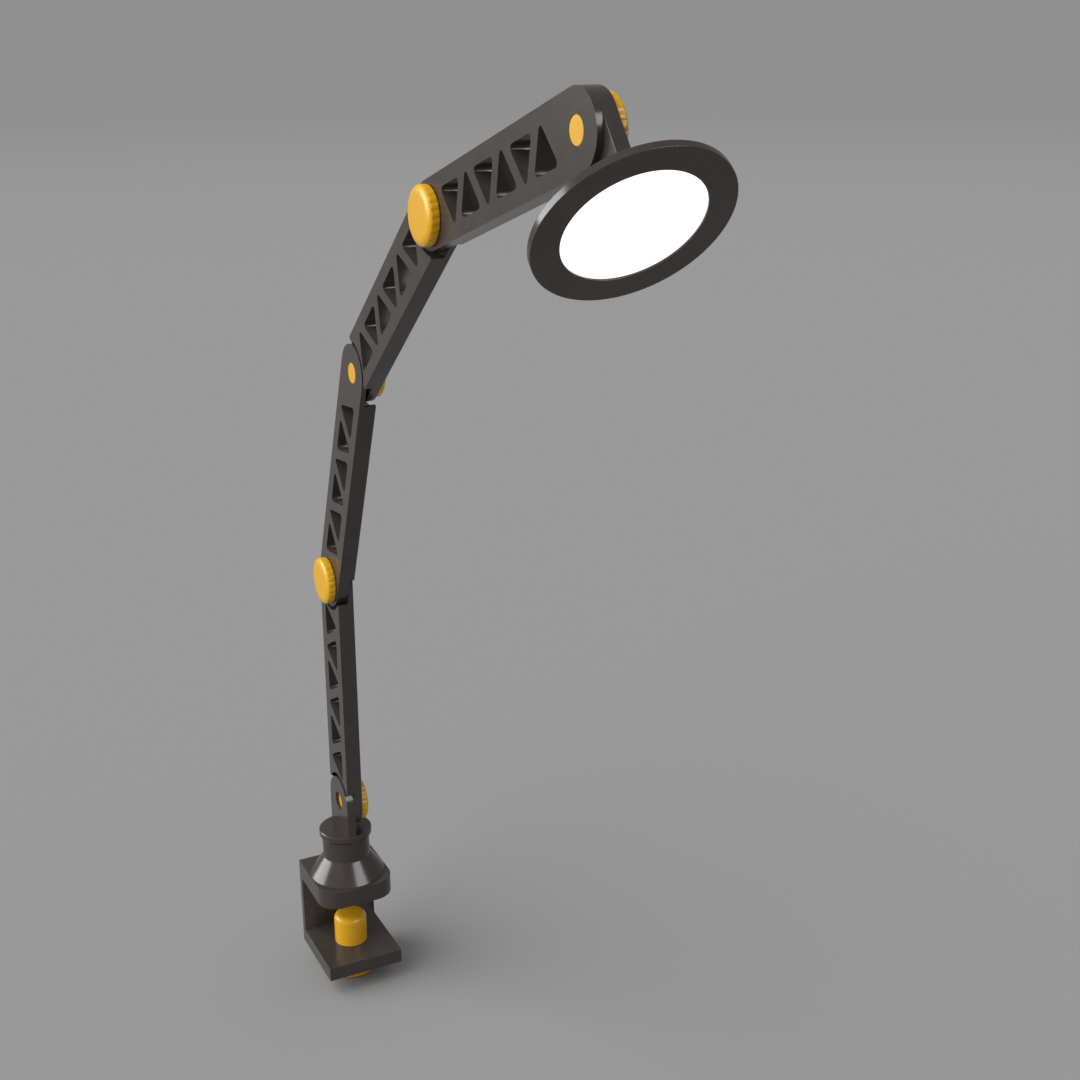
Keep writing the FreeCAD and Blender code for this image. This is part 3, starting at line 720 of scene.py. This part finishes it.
# ---------------------------------------------------------------------- clamp
@dataclass
class Clamp(Assembly):
    """The C-shaped clamp with its collar, pressure pad and screw."""

    width: float = 51.6
    back: float = 27.8
    wall: float = 4.8
    throat: float = 41.3
    jaw_front: float = 25.8
    jaw_thickness: float = 12.6
    jaw_corner: float = 14.0
    plate_front: float = 29.6
    plate_thickness: float = 9.7
    edge: float = 0.5
    cone_radius: float = 25.4
    cone_height: float = 14.1
    neck_radius: float = 15.9
    neck_height: float = 14.1
    bore: float = 8.08
    cavity_radius: float = 14.5
    cavity_height: float = 11.4
    screw_circle: float = 19.0
    screw_way: float = 11.18
    small_hole: float = 1.58
    countersink: float = 3.08
    screw_radius: float = 11.1
    pad_top: float = -20.8
    pad_height: float = 6.0
    pad_round: float = 4.0
    stem_radius: float = 4.0
    stem_length: float = 8.0
    stem_play: float = 0.08
    pad_gap: float = 0.2
    grip_radius: float = 16.4
    grip_height: float = 11.0
    grip_round: float = 2.4
    grip_inner_round: float = 1.2
    grip_gap: float = 2.0

    def frame_piece(self) -> Piece:
        """Draws the jaw and the plate out of the back wall, then rounds and drills them.

        Returns:
            The C-shaped frame.
        """
        top, foot = self.jaw_thickness, -self.throat - self.plate_thickness
        side, inner = self.width / 2, self.wall - self.back
        piece = block("clamp_frame_dressed", (-self.back, -side, foot), (inner, side, top))
        jaw, plate = (0.0, top, self.jaw_front), (foot, -self.throat, self.plate_front)
        with editing(piece, Select.FACE) as pick_faces:
            for level in (0.0, -self.throat):
                bpy.ops.mesh.select_all(action="SELECT")
                bpy.ops.mesh.bisect(plane_co=(0, 0, level * MM), plane_no=(0, 0, 1))
            for low, high, reach in (jaw, plate):
                pick_faces(lambda at, normal: normal.x > ALONG and low < at.z / MM < high)
                bpy.ops.mesh.extrude_region_move(
                    TRANSFORM_OT_translate={"value": ((reach - inner) * MM, 0, 0)}
                )
        front = (self.jaw_front - 1) * MM
        with editing(piece, Select.EDGE) as pick_edges:
            pick_edges(lambda at, way: abs(way.z) > ALONG and at.z > 0 and at.x > front)
            bpy.ops.mesh.bevel(offset=self.jaw_corner * MM, segments=16, affect="EDGES")
        combine(piece, rod("screw_way", self.screw_way, THROUGH, (0, 0, foot)))
        small = Sides.SMALL_HOLE
        for quarter in range(4):
            angle = math.radians(45 + 90 * quarter)
            at = (self.screw_circle * math.cos(angle), self.screw_circle * math.sin(angle), 0)
            combine(piece, rod("hole", self.small_hole, THROUGH, at, sides=small))
            combine(piece, rod("sink", self.countersink, self.countersink, at, sides=small))
        return soften(piece, self.edge, 3)

    def collar_piece(self) -> Piece:
        """Turns the cone and neck, hollow for the nut and bored for the spigot.

        Returns:
            The collar.
        """
        foot = self.jaw_thickness
        shoulder, top = foot + self.cone_height, foot + self.cone_height + self.neck_height
        ceiling = foot + self.cavity_height
        outline = [
            (self.cavity_radius, foot),
            (self.cone_radius, foot),
            (self.cone_radius, foot + self.edge),
            (self.neck_radius, shoulder),
            (self.neck_radius, top),
            (self.bore, top),
            (self.bore, ceiling),
            (self.cavity_radius, ceiling),
            (self.cavity_radius, foot),
        ]
        return soften(turn("collar_dressed", outline, Sides.TURNED, ring=True), self.edge)

    def pad_piece(self) -> Piece:
        """Turns the round-edged pad and the stem that it turns on.

        Returns:
            The pressure pad.
        """
        foot = self.pad_top - self.pad_height
        corner = (self.screw_radius - self.pad_round, self.pad_top - self.pad_round)
        outline = [
            (self.stem_radius, foot - self.stem_length),
            (self.stem_radius, foot),
            (self.screw_radius, foot),
            *arc(corner, self.pad_round, 0, 90, 10),
        ]
        return soften(turn("pressure_pad_dressed", outline), self.edge / 3)

    def screw_piece(self) -> Piece:
        """Turns the screw with its grip, and presses the flutes into the grip.

        Returns:
            The clamping screw.
        """
        top = self.pad_top - self.pad_height - self.pad_gap
        socket = self.stem_radius + self.stem_play
        grip_top = -self.throat - self.plate_thickness - self.grip_gap
        grip = FlutedGrip(
            self.grip_radius,
            self.grip_height,
            self.grip_round,
            self.grip_inner_round,
            crown=self.grip_round,
        )
        outline = [
            *grip.outline(grip_top - self.grip_height),
            (self.screw_radius, grip_top),
            (self.screw_radius, top),
            (socket, top),
            (socket, top - self.stem_length),
        ]
        piece = turn("clamp_screw_dressed", outline, grip.sides)
        grip.press_flutes(piece, grip_top - self.grip_height, grip_top)
        return soften(piece, self.edge / 3)

    def build(self) -> None:
        """Models the clamp and hands its pieces over."""
        dark, yellow = Finish.charcoal_plastic, Finish.yellow_plastic
        self.hand_over(self.frame_piece(), "clamp", dark, "clamp_frame")
        self.hand_over(self.collar_piece(), "clamp", dark, "collar")
        self.hand_over(self.pad_piece(), "pad", yellow, "pressure_pad")
        self.hand_over(self.screw_piece(), "screw", yellow, "clamp_screw")


# ----------------------------------------------------------- screws and grips
@dataclass(frozen=True)
class FlutedGrip:
    """The rounded, fluted rim that the thumb screws and the clamp's screw share."""

    radius: float
    height: float
    outer_round: float
    inner_round: float
    crown: float = 4.3
    flutes: int = 24
    steps: int = 8
    flute_radius: float = 2.0
    flute_depth: float = 0.35
    tolerance: float = 0.01
    ring_tolerance: float = 0.002

    @property
    def sides(self) -> int:
        """How many steps go round the grip."""
        return self.flutes * self.steps

    def outline(self, foot: float) -> list[Point]:
        """Outline of the rim, from its rounded outer end to its inner end.

        Args:
            foot: Height of the outer end, in mm.

        Returns:
            Radius and height of each point, in mm.
        """
        high = (self.radius - self.inner_round, foot + self.height - self.inner_round)
        outer_end = [
            (
                self.radius - self.crown * (1 - math.sin(angle)),
                foot + self.outer_round * (1 - math.cos(angle)),
            )
            for angle in (math.radians(degrees) for degrees in range(0, 91, 10))
        ]
        return [*outer_end, *arc(high, self.inner_round, 0, 90, 4)]

    def press_flutes(self, piece: Piece, low: float, high: float) -> None:
        """Moves the rim inwards at each flute, as far as a round cutter would reach.

        Args:
            piece: The turned piece.
            low: Foot of the rim, in mm.
            high: Top of the rim, in mm.
        """
        cutter = self.radius + self.flute_radius - self.flute_depth
        step = 2 * math.pi / self.sides
        for offset in range(self.steps // 2):
            angle = offset * step
            sideways = cutter * math.sin(angle)
            if sideways >= self.flute_radius:
                continue
            reach = cutter * math.cos(angle) - math.sqrt(self.flute_radius**2 - sideways**2)
            radii = sorted(
                {
                    round(corner.co.xy.length / MM, 3)
                    for corner in piece.data.vertices
                    if low - self.tolerance < corner.co.z / MM < high + self.tolerance
                }
            )
            for radius in (r for r in radii if r > reach):
                self._shrink(piece, offset, radius, reach, (low, high))

    def _shrink(
        self, piece: Piece, offset: int, radius: float, reach: float, span: Limits
    ) -> None:
        """Pulls one ring of corners in, at one step from the middle of every flute.

        Args:
            piece: The turned piece.
            offset: How many steps the corners are from a flute's middle, on either side.
            radius: Where the ring lies now, in mm.
            reach: Where it is pulled to.
            span: Lowest and highest level of the rim.
        """
        step = 2 * math.pi / self.sides

        def on_flute(at: Vector, _normal: Vector) -> bool:
            """Whether a corner belongs to that ring and step."""
            column = round(math.atan2(at.x, at.y) / step) % self.steps
            return (
                column in (offset, (self.steps - offset) % self.steps)
                and abs(at.xy.length / MM - radius) < self.ring_tolerance
                and span[0] - self.tolerance < at.z / MM < span[1] + self.tolerance
            )

        with editing(piece, Select.CORNER) as pick_corners:
            pick_corners(on_flute)
            share = reach / radius
            bpy.ops.transform.resize(value=(share, share, 1), center_override=(0, 0, 0))


@dataclass
class ThumbScrews(Assembly):
    """The five thumb screws that hold the hinges: fluted head outside, tip at the far ear."""

    radius: float = 15.0
    height: float = 6.0
    outer_round: float = 2.4
    inner_round: float = 0.8
    shank_radius: float = 6.2
    arm_thickness: float = 10.2
    face_gap: float = 0.1
    foot_ear: float = 5.5
    tip_recess: float = 2.0
    tip_chamfer: float = 0.4
    edge: float = 0.12

    def blank(self, depth: float, name: str) -> Piece:
        """Turns a thumb screw whose shank reaches down to a depth.

        Args:
            depth: From the inner face of the head to the tip, in mm.
            name: Name of the piece.

        Returns:
            The thumb screw, its head's outer face at the foot.
        """
        grip = FlutedGrip(self.radius, self.height, self.outer_round, self.inner_round)
        outline = [
            *grip.outline(0.0),
            (self.shank_radius, self.height),
            (self.shank_radius, self.height + depth - self.tip_chamfer),
            (self.shank_radius - self.tip_chamfer, self.height + depth),
        ]
        piece = turn(name, outline, grip.sides)
        grip.press_flutes(piece, 0.0, self.height)
        return soften(piece, self.edge)

    def build(self) -> None:
        """Models one thumb screw of each length and copies it to its hinges."""
        through = self.arm_thickness + self.face_gap
        recessed = self.arm_thickness / 2 + self.foot_ear + 1.5 * self.face_gap - self.tip_recess
        first = self.blank(recessed, "hinge_knob_1_dressed")
        long = self.blank(through, "hinge_knob_2_dressed")
        pieces = [first, long] + [
            duplicate(long, f"hinge_knob_{number}_dressed") for number in (3, 4, 5)
        ]
        face = self.arm_thickness / 2 + self.face_gap + self.height
        for number, piece in enumerate(pieces, start=1):
            outwards = 1 if number % 2 else -1
            turned = Matrix.Rotation(math.radians(90 * outwards), 4, "X")
            place = Matrix.Translation(CHAIN.hinge(number) + Vector((0, outwards * face * MM, 0)))
            self.hand_over(
                piece,
                f"knob_{number}",
                Finish.yellow_plastic,
                f"hinge_knob_{number}",
                place @ turned,
            )


# ----------------------------------------------------------------------- foot
def long_plate(
    name: str, radius: float, length: float, front: float, back: float, sides: int = Sides.EAR
) -> Piece:
    """Makes a plate with two round ends: a disc whose upper half is drawn up.

    Args:
        name: Name of the piece.
        radius: Radius of the ends, in mm.
        length: From the centre of one end, at the origin, up to the other, in mm.
        front: Where its front face lies along Y, in mm.
        back: Where its back face lies, in mm.
        sides: How many steps go round.

    Returns:
        The plate, standing on the origin in the XZ plane.
    """
    piece = rod(name, radius, back - front, (0, (front + back) / 2, 0), Way.ACROSS, sides)
    with editing(piece, Select.CORNER) as pick_corners:
        bpy.ops.mesh.select_all(action="SELECT")
        bpy.ops.transform.rotate(
            value=math.pi / sides, orient_axis="Y", center_override=(0, 0, 0)
        )
        pick_corners(lambda at, _: at.z > 0)
        bpy.ops.transform.translate(value=(0, 0, length * MM))
    return piece


@dataclass
class SwivelFoot(Assembly):
    """The turning cap with its spigot and the first hinge's ear."""

    spigot_radius: float = 8.0
    spigot_foot: float = 14.5
    cap_foot: float = 41.1
    cap_radius: float = 17.6
    cap_height: float = 5.4
    cap_chamfer: float = 1.5
    ear_radius: float = 17.0
    ear_thickness: float = 5.5
    face_gap: float = 0.1
    hole: float = 6.28
    edge: float = 0.5

    def build(self) -> None:
        """Models the cap, welds the ear on and hands it over."""
        top = self.cap_foot + self.cap_height
        outline = [
            (self.spigot_radius, self.spigot_foot),
            (self.spigot_radius, self.cap_foot),
            (self.cap_radius - self.cap_chamfer, self.cap_foot),
            (self.cap_radius, self.cap_foot + self.cap_chamfer),
            (self.cap_radius, top - self.edge),
            (self.cap_radius - self.edge, top),
        ]
        piece = turn("swivel_cap_dressed", outline)
        hinge = CHAIN.hinge(1) / MM
        back = hinge.y - self.face_gap / 2
        front = back - self.ear_thickness
        ear = long_plate("ear", self.ear_radius, 2 * self.ear_radius, front, back)
        with editing(ear, Select.CORNER):
            bpy.ops.mesh.select_all(action="SELECT")
            bpy.ops.transform.translate(value=(0, 0, (hinge.z - 2 * self.ear_radius) * MM))
            bpy.ops.mesh.bisect(
                plane_co=(0, 0, (top - self.cap_height / 2) * MM),
                plane_no=(0, 0, 1),
                clear_inner=True,
                use_fill=True,
            )
        combine(piece, ear, Joining.WELD)
        combine(piece, rod("hole", self.hole, THROUGH, (0, hinge.y, hinge.z), Way.ACROSS))
        soften(piece, self.edge / 2)
        self.hand_over(piece, "swivel", Finish.charcoal_plastic, "swivel_cap")


# ----------------------------------------------------------------------- arms
@dataclass
class TrussArms(Assembly):
    """Four arms with zigzag windows and half-lap ears, two of each kind."""

    pitch: float = 160.0
    radius: float = 17.0
    thickness: float = 10.2
    shoulder: float = 12.5
    seat_radius: float = 19.63
    thin_ear: float = 3.0
    face_gap: float = 0.1
    hole: float = 6.28
    chord: float = 7.5
    window_pitch: float = 20.0
    window_base: float = 24.0
    window_point: float = 11.7
    windows: int = 6
    window_corner: float = 2.4
    edge: float = 0.5
    angle_tolerance: float = 0.01
    bodies: tuple[str, ...] = ("lower_arm", "second_arm", "third_arm", "upper_arm")

    def window(self, number: int) -> Piece:
        """A three-sided cutter with rounded corners for one window.

        Args:
            number: Which window, from 0 at the bottom; every second one points the other way.

        Returns:
            The cutter, in its place in the arm.
        """
        half_base, reach = self.window_base / 2, self.radius - self.chord
        side = 1 if number % 2 == 0 else -1
        height = self.pitch / 2 + (number - (self.windows - 1) / 2) * self.window_pitch
        cutter = rod("window", reach, 2 * self.thickness, (0, 0, height), Way.ACROSS, 3)
        corners = [
            (side * reach, -half_base),
            (side * reach, half_base),
            (-side * self.window_point, 0),
        ]
        angles = sorted({self._angle(at, height) for at in (v.co for v in cutter.data.vertices)})
        places = dict(zip(angles, sorted(corners, key=lambda c: math.atan2(c[1], c[0]))))
        with editing(cutter, Select.CORNER) as pick_corners:
            for angle, (x, z) in places.items():
                pick_corners(
                    lambda at, _: abs(self._angle(at, height) - angle) < self.angle_tolerance
                )
                corners_now = bmesh.from_edit_mesh(cutter.data).verts
                now = next(corner.co for corner in corners_now if corner.select)
                shift = (x * MM - now.x, 0, (height + z) * MM - now.z)
                bpy.ops.transform.translate(value=shift)
        with editing(cutter, Select.EDGE) as pick_edges:
            pick_edges(lambda at, way: abs(way.y) > ALONG)
            bpy.ops.mesh.bevel(
                offset=self.window_corner * math.sqrt(3) * MM, segments=8, affect="EDGES"
            )
            bpy.ops.mesh.select_all(action="SELECT")
            bpy.ops.mesh.normals_make_consistent(inside=False)
        return cutter

    @staticmethod
    def _angle(at: Vector, height: float) -> float:
        """Angle of a corner round a window's middle at that height in mm, in rounded radians."""
        return round(math.atan2(at.z - height * MM, at.x), 3)

    def lap(self, piece: Piece, hinge: float, upwards: int, face: float) -> None:
        """Cuts one end back to its ear, with a round seat for the next arm's ear.

        Args:
            piece: The arm.
            hinge: Height of the hinge, in mm.
            upwards: 1 where the arm runs up from the hinge, or -1.
            face: Where the inner face of the ear lies along Y, in mm.
        """
        wide = self.radius + self.thickness
        ends = sorted((hinge + upwards * self.shoulder, hinge - upwards * wide))
        step = block("step", (-wide, -self.thickness, ends[0]), (wide, face, ends[1]))
        combine(piece, step)
        depth = face + self.thickness
        middle = (0, (face - self.thickness) / 2, hinge)
        combine(piece, rod("seat", self.seat_radius, depth, middle, Way.ACROSS, Sides.EAR))
        combine(piece, rod("hole", self.hole, THROUGH, (0, 0, hinge), Way.ACROSS))

    def arm(self, name: str, low_face: float) -> Piece:
        """Models one arm.

        Args:
            name: Name of the piece.
            low_face: Where the inner face of its lower ear lies along Y, in mm.

        Returns:
            The arm, standing on its lower hinge with both ears on its +Y side.
        """
        half = self.thickness / 2
        piece = long_plate(name, self.radius, self.pitch, -half, half)
        self.lap(piece, 0.0, 1, low_face)
        self.lap(piece, self.pitch, -1, half - self.thin_ear)
        for number in range(self.windows):
            combine(piece, self.window(number))
        return soften(piece, self.edge)

    def build(self) -> None:
        """Models an arm of each kind, copies it and hands all four over."""
        odd = self.arm("arm_1_dressed", self.face_gap / 2)
        even = self.arm("arm_2_dressed", self.thin_ear + self.face_gap - self.thickness / 2)
        arms = [odd, even, duplicate(odd, "arm_3_dressed"), duplicate(even, "arm_4_dressed")]
        for number, (piece, body) in enumerate(zip(arms, self.bodies), start=1):
            self.hand_over(
                piece, body, Finish.charcoal_plastic, f"arm_{number}", CHAIN.arm_frame(number)
            )


# ----------------------------------------------------------------------- head
@dataclass
class LampHead(Assembly):
    """Bracket, back shell, bezel and window of the round lamp."""

    reach: float = 50.6
    radius: float = 42.0
    rim_height: float = 3.4
    rim_wall: float = 1.6
    rim_gap: float = 0.1
    ring_thickness: float = 1.2
    window_radius: float = 30.0
    dome_radius: float = 36.0
    dome_top: float = 22.0
    dome_height: float = 8.0
    shell_floor: float = 1.5
    board_radius: float = 28.1
    board_back: float = 45.4
    rear_radius: float = 20.0
    diffuser_radius: float = 38.0
    diffuser_thickness: float = 0.8
    flange_radius: float = 13.0
    flange_height: float = 4.0
    foot_half: float = 10.0
    ear_radius: float = 17.0
    bracket_low: float = -1.9
    bracket_high: float = 5.1
    hole: float = 6.28
    screw_pitch: float = 16.0
    screw_hole: float = 1.58
    screw_depth: float = 8.08
    inlet_offset: float = 17.6
    inlet_hole: float = 4.08
    post_radius: float = 1.5
    post_height: float = 0.8
    post_offset: tuple[float, float] = (6.0, 11.0)
    edge: float = 0.35

    @property
    def rim_back(self) -> float:
        """Depth of the back of the rim along the head's axis."""
        return self.reach - self.rim_height

    @property
    def back(self) -> float:
        """Depth of the flat of the dished back."""
        return self.rim_back - self.dome_height

    def bracket(self) -> Piece:
        """Spans the ear and the foot with one tapered plate and welds the flange on.

        Returns:
            The bracket.
        """
        depth = self.bracket_high - self.bracket_low
        middle = (0, (self.bracket_high + self.bracket_low) / 2, 0)
        flange_top = self.back - self.flange_height
        piece = rod(
            "head_bracket_dressed", self.ear_radius, depth, middle, Way.ACROSS, Sides.EAR
        )
        foot = block(
            "foot",
            (-self.foot_half, self.bracket_low, flange_top),
            (self.foot_half, self.bracket_high, flange_top + self.flange_height / 2),
        )
        activate(piece)
        foot.select_set(True)
        bpy.ops.object.join()
        with editing(piece, Select.FACE):
            bpy.ops.mesh.select_all(action="SELECT")
            bpy.ops.mesh.convex_hull()
            bpy.ops.mesh.select_all(action="SELECT")
            bpy.ops.mesh.dissolve_limited(angle_limit=FLAT_ANGLE)
        disc = [(self.flange_radius, flange_top), (self.flange_radius, self.back)]
        combine(piece, turn("flange", disc, Sides.HOLE), Joining.WELD)
        combine(piece, rod("hole", self.hole, THROUGH, (0, 0, 0), Way.ACROSS))
        for side in (-1, 1):
            self.drill_screw_hole(piece, side)
        return soften(piece, self.edge)

    def drill_screw_hole(self, piece: Piece, side: int) -> None:
        """Drills one of the two holes for the screws that join the shell to the bracket.

        Args:
            piece: The bracket or the shell.
            side: 1 for the hole towards +X, or -1.
        """
        at, depth = (side * self.screw_pitch / 2, 0, self.back), 2 * self.screw_depth
        combine(piece, rod("hole", self.screw_hole, depth, at, sides=Sides.SMALL_HOLE))

    def shell(self) -> Piece:
        """Turns the dished back shell, stepped inside for the LED board.

        Returns:
            The back shell.
        """
        rim = self.radius - self.rim_wall - self.rim_gap
        floor = self.back + self.shell_floor
        seat = self.reach - self.ring_thickness - self.diffuser_thickness
        outline = [
            (self.dome_top, self.back),
            (self.dome_radius, self.rim_back),
            (rim, self.rim_back),
            (rim, seat),
            (self.board_radius, seat),
            (self.board_radius, self.board_back),
            (self.rear_radius, self.board_back),
            (self.rear_radius, floor),
        ]
        piece = turn("lamp_housing_dressed", outline, Sides.TURNED)
        height = self.shell_floor / 2 + self.post_height
        along, across = self.post_offset
        for side in (-1, 1):
            at = (side * along, across, floor + self.post_height - height / 2)
            post = rod("post", self.post_radius, height, at, sides=Sides.SMALL_HOLE)
            combine(piece, post, Joining.WELD)
            self.drill_screw_hole(piece, side)
        inlet, depth = (self.inlet_offset, 0, self.back), 2 * self.dome_height
        combine(piece, rod("inlet", self.inlet_hole, depth, inlet, sides=Sides.INLET))
        return soften(piece, self.edge)

    def bezel(self) -> Piece:
        """Turns the ring round the window with the outer wall of the head.

        Returns:
            The bezel.
        """
        ring_back = self.reach - self.ring_thickness
        inner = self.radius - self.rim_wall
        outline = [
            (self.window_radius, ring_back),
            (inner, ring_back),
            (inner, self.rim_back),
            (self.radius, self.rim_back),
            (self.radius, self.reach),
            (self.window_radius, self.reach),
            (self.window_radius, ring_back),
        ]
        return soften(turn("lamp_bezel_dressed", outline, Sides.BEZEL, ring=True), self.edge)

    def diffuser(self) -> Piece:
        """Turns the opal sheet, its edge broken.

        Returns:
            The diffuser.
        """
        front = self.reach - self.ring_thickness
        chamfer = self.diffuser_thickness / 4
        outline = [
            (self.diffuser_radius, front - self.diffuser_thickness),
            (self.diffuser_radius, front - chamfer),
            (self.diffuser_radius - chamfer, front),
        ]
        return soften(turn("diffuser_dressed", outline, Sides.TURNED), chamfer / 2)

    def build(self) -> None:
        """Models the head's visible pieces and hands them over."""
        place, dark = CHAIN.head_frame(), Finish.charcoal_plastic
        self.hand_over(self.bracket(), "head", dark, "head_bracket", place)
        self.hand_over(self.shell(), "head", dark, "lamp_housing", place)
        self.hand_over(self.bezel(), "head", dark, "lamp_bezel", place)
        self.hand_over(self.diffuser(), "head", Finish.opal_diffuser, "diffuser", place)


@dataclass
class HiddenParts:
    """CAD nodes that keep their own mesh and only get a finish."""

    paint: Paint
    finishes: dict[str, Finish] = field(
        default_factory=lambda: {
            "collar_screws": Finish.screw_steel,
            "swivel_washer": Finish.screw_steel,
            "swivel_nut": Finish.screw_steel,
            "hinge_spacer": Finish.yellow_plastic,
            "bracket_screws": Finish.screw_steel,
            "reflector": Finish.white_reflector,
            "led_board": Finish.board_aluminium,
            "led_chips": Finish.led_package,
            "driver_board": Finish.circuit_board,
            "power_inlet": Finish.socket_black,
        }
    )

    def dress(self) -> None:
        """Gives each of these nodes its finish."""
        for name, finish in self.finishes.items():
            self.paint.dress(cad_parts[name], finish)
            log.info("%s keeps its CAD mesh, in %s", name, finish.value.name)


# --------------------------------------------------------------------- studio
@dataclass
class Studio:
    """A plain grey floor under soft light, seen as the photograph sees it."""

    floor_colour: str = "#999999"
    far_colour: str = "#8f8f8f"
    floor_level: float = -0.0642
    floor_radius: float = 16.0
    fade_start: float = 3.0
    fade_end: float = 13.0
    sky: float = 0.42
    key_strength: float = 2.74
    key_from: tuple[float, float, float] = (0.0, -0.74, 0.67)
    key_spread: float = 70.0
    panel_distance: float = 4.0
    lens: float = 50.43
    camera_at: tuple[float, float, float] = (0.87976, -0.28638, 0.5595)
    camera_right: tuple[float, float, float] = (0.44626372, 0.89487439, -0.00696558)
    camera_up: tuple[float, float, float] = (-0.2827595, 0.14838528, 0.94764385)

    def floor(self) -> None:
        """Lays a wide round floor whose tone fades far away into the backdrop's."""
        bpy.ops.mesh.primitive_circle_add(
            vertices=Sides.EAR,
            radius=self.floor_radius,
            fill_type="NGON",
            location=(0, 0, self.floor_level),
        )
        piece = settle("studio_floor")
        material, tree = blank("matt_studio_paper")
        place = add_node(tree, "ShaderNodeTexCoord").outputs["Object"]
        distance = add_node(tree, "ShaderNodeVectorMath", {0: place}, operation="LENGTH")
        fade = (self.fade_start, self.fade_end)
        far = remap(tree, distance.outputs["Value"], fade, FULL, "SMOOTHSTEP")
        colour = mingle(tree, far, linear(self.floor_colour), linear(self.far_colour))
        coat(tree, "ShaderNodeBsdfDiffuse", {"Color": colour})
        piece.data.materials.append(material)

    def sky_light(self) -> None:
        """Fills the room with even light of the backdrop's own tone."""
        world = bpy.data.worlds.new("studio_room")
        world.use_nodes = True
        tree = world.node_tree
        tree.nodes.clear()
        seen = add_node(tree, "ShaderNodeLightPath")
        fill = add_node(
            tree, "ShaderNodeBackground", {"Color": (1, 1, 1, 1), "Strength": self.sky}
        )
        backdrop = add_node(
            tree, "ShaderNodeBackground", {"Color": linear(self.far_colour), "Strength": 1.0}
        )
        glossy = add_node(
            tree,
            "ShaderNodeMath",
            {0: seen.outputs["Is Camera Ray"], 1: seen.outputs["Is Glossy Ray"]},
            operation="ADD",
        )
        share = add_node(
            tree,
            "ShaderNodeMath",
            {0: glossy.outputs[0], 1: seen.outputs["Is Transmission Ray"]},
            operation="ADD",
            use_clamp=True,
        )
        mixed = add_node(
            tree,
            "ShaderNodeMixShader",
            {0: share.outputs[0], 1: fill.outputs[0], 2: backdrop.outputs[0]},
        )
        add_node(tree, "ShaderNodeOutputWorld", {"Surface": mixed.outputs[0]})
        bpy.context.scene.world = world

    @staticmethod
    def hang(name: str, data: bpy.types.ID) -> Piece:
        """Adds a light or a camera to the scene.

        Args:
            name: Its name.
            data: What it is.

        Returns:
            The object that carries it.
        """
        carrier = bpy.data.objects.new(name, data)
        carrier.rotation_mode = "QUATERNION"
        bpy.context.scene.collection.objects.link(carrier)
        return carrier

    def key_light(self) -> None:
        """Hangs the broad key light on the left, where the photograph's shadow puts it."""
        data = bpy.data.lights.new("key_light", "SUN")
        data.energy = self.key_strength
        data.angle = math.radians(self.key_spread)
        lamp = self.hang("key_light", data)
        lamp.rotation_quaternion = Vector(self.key_from).to_track_quat("Z", "Y")
        lamp.visible_glossy = False

    def panel(
        self, name: str, azimuth: float, low: float, high: float, width: float, radiance: float
    ) -> None:
        """Stands up a light panel that is only there to be reflected.

        Args:
            name: Name of the panel.
            azimuth: Direction it stands in, in degrees from +X towards +Y.
            low: Height of its lower edge, in metres.
            high: Height of its upper edge.
            width: Its width, in metres.
            radiance: How bright it looks, where 1 is white.
        """
        data = bpy.data.lights.new(name, "AREA")
        data.shape = "RECTANGLE"
        data.size, data.size_y = width, high - low
        data.energy = radiance * math.pi * data.size * data.size_y
        lamp = self.hang(name, data)
        turn_to = math.radians(azimuth)
        outwards = Vector((math.cos(turn_to), math.sin(turn_to), 0))
        lamp.location = outwards * self.panel_distance + Vector((0, 0, (low + high) / 2))
        lamp.rotation_quaternion = outwards.to_track_quat("Z", "Y")
        lamp.visible_diffuse = False
        lamp.visible_camera = False

    def camera(self) -> None:
        """Puts the camera where the photograph was taken from."""
        data = bpy.data.cameras.new("photo_camera")
        data.lens = self.lens
        data.sensor_width = 36.0
        data.clip_start = 0.01
        data.clip_end = 100.0
        camera = self.hang("photo_camera", data)
        right, up = Vector(self.camera_right), Vector(self.camera_up)
        axes = (right, up, right.cross(up), self.camera_at)
        camera.matrix_world = Matrix([*zip(*axes), (0, 0, 0, 1)])
        bpy.context.scene.camera = camera

    def build(self) -> None:
        """Sets up the floor, the light and the camera."""
        bpy.context.scene.view_settings.view_transform = "Standard"
        self.camera()
        self.floor()
        self.sky_light()
        self.key_light()
        self.panel("left_panel", azimuth=-121, low=0.4, high=2.6, width=3.4, radiance=9.0)
        self.panel("front_panel", azimuth=27, low=1.4, high=3.6, width=2.6, radiance=7.5)


def main() -> None:
    """Builds the lamp and the studio."""
    logging.basicConfig(level=logging.INFO, format="%(name)s: %(message)s")
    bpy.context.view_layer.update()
    paint = Paint()
    Clamp(paint).build()
    SwivelFoot(paint).build()
    ThumbScrews(paint).build()
    TrussArms(paint).build()
    LampHead(paint).build()
    HiddenParts(paint).dress()
    Studio().build()


if __name__ == "__main__":
    main()
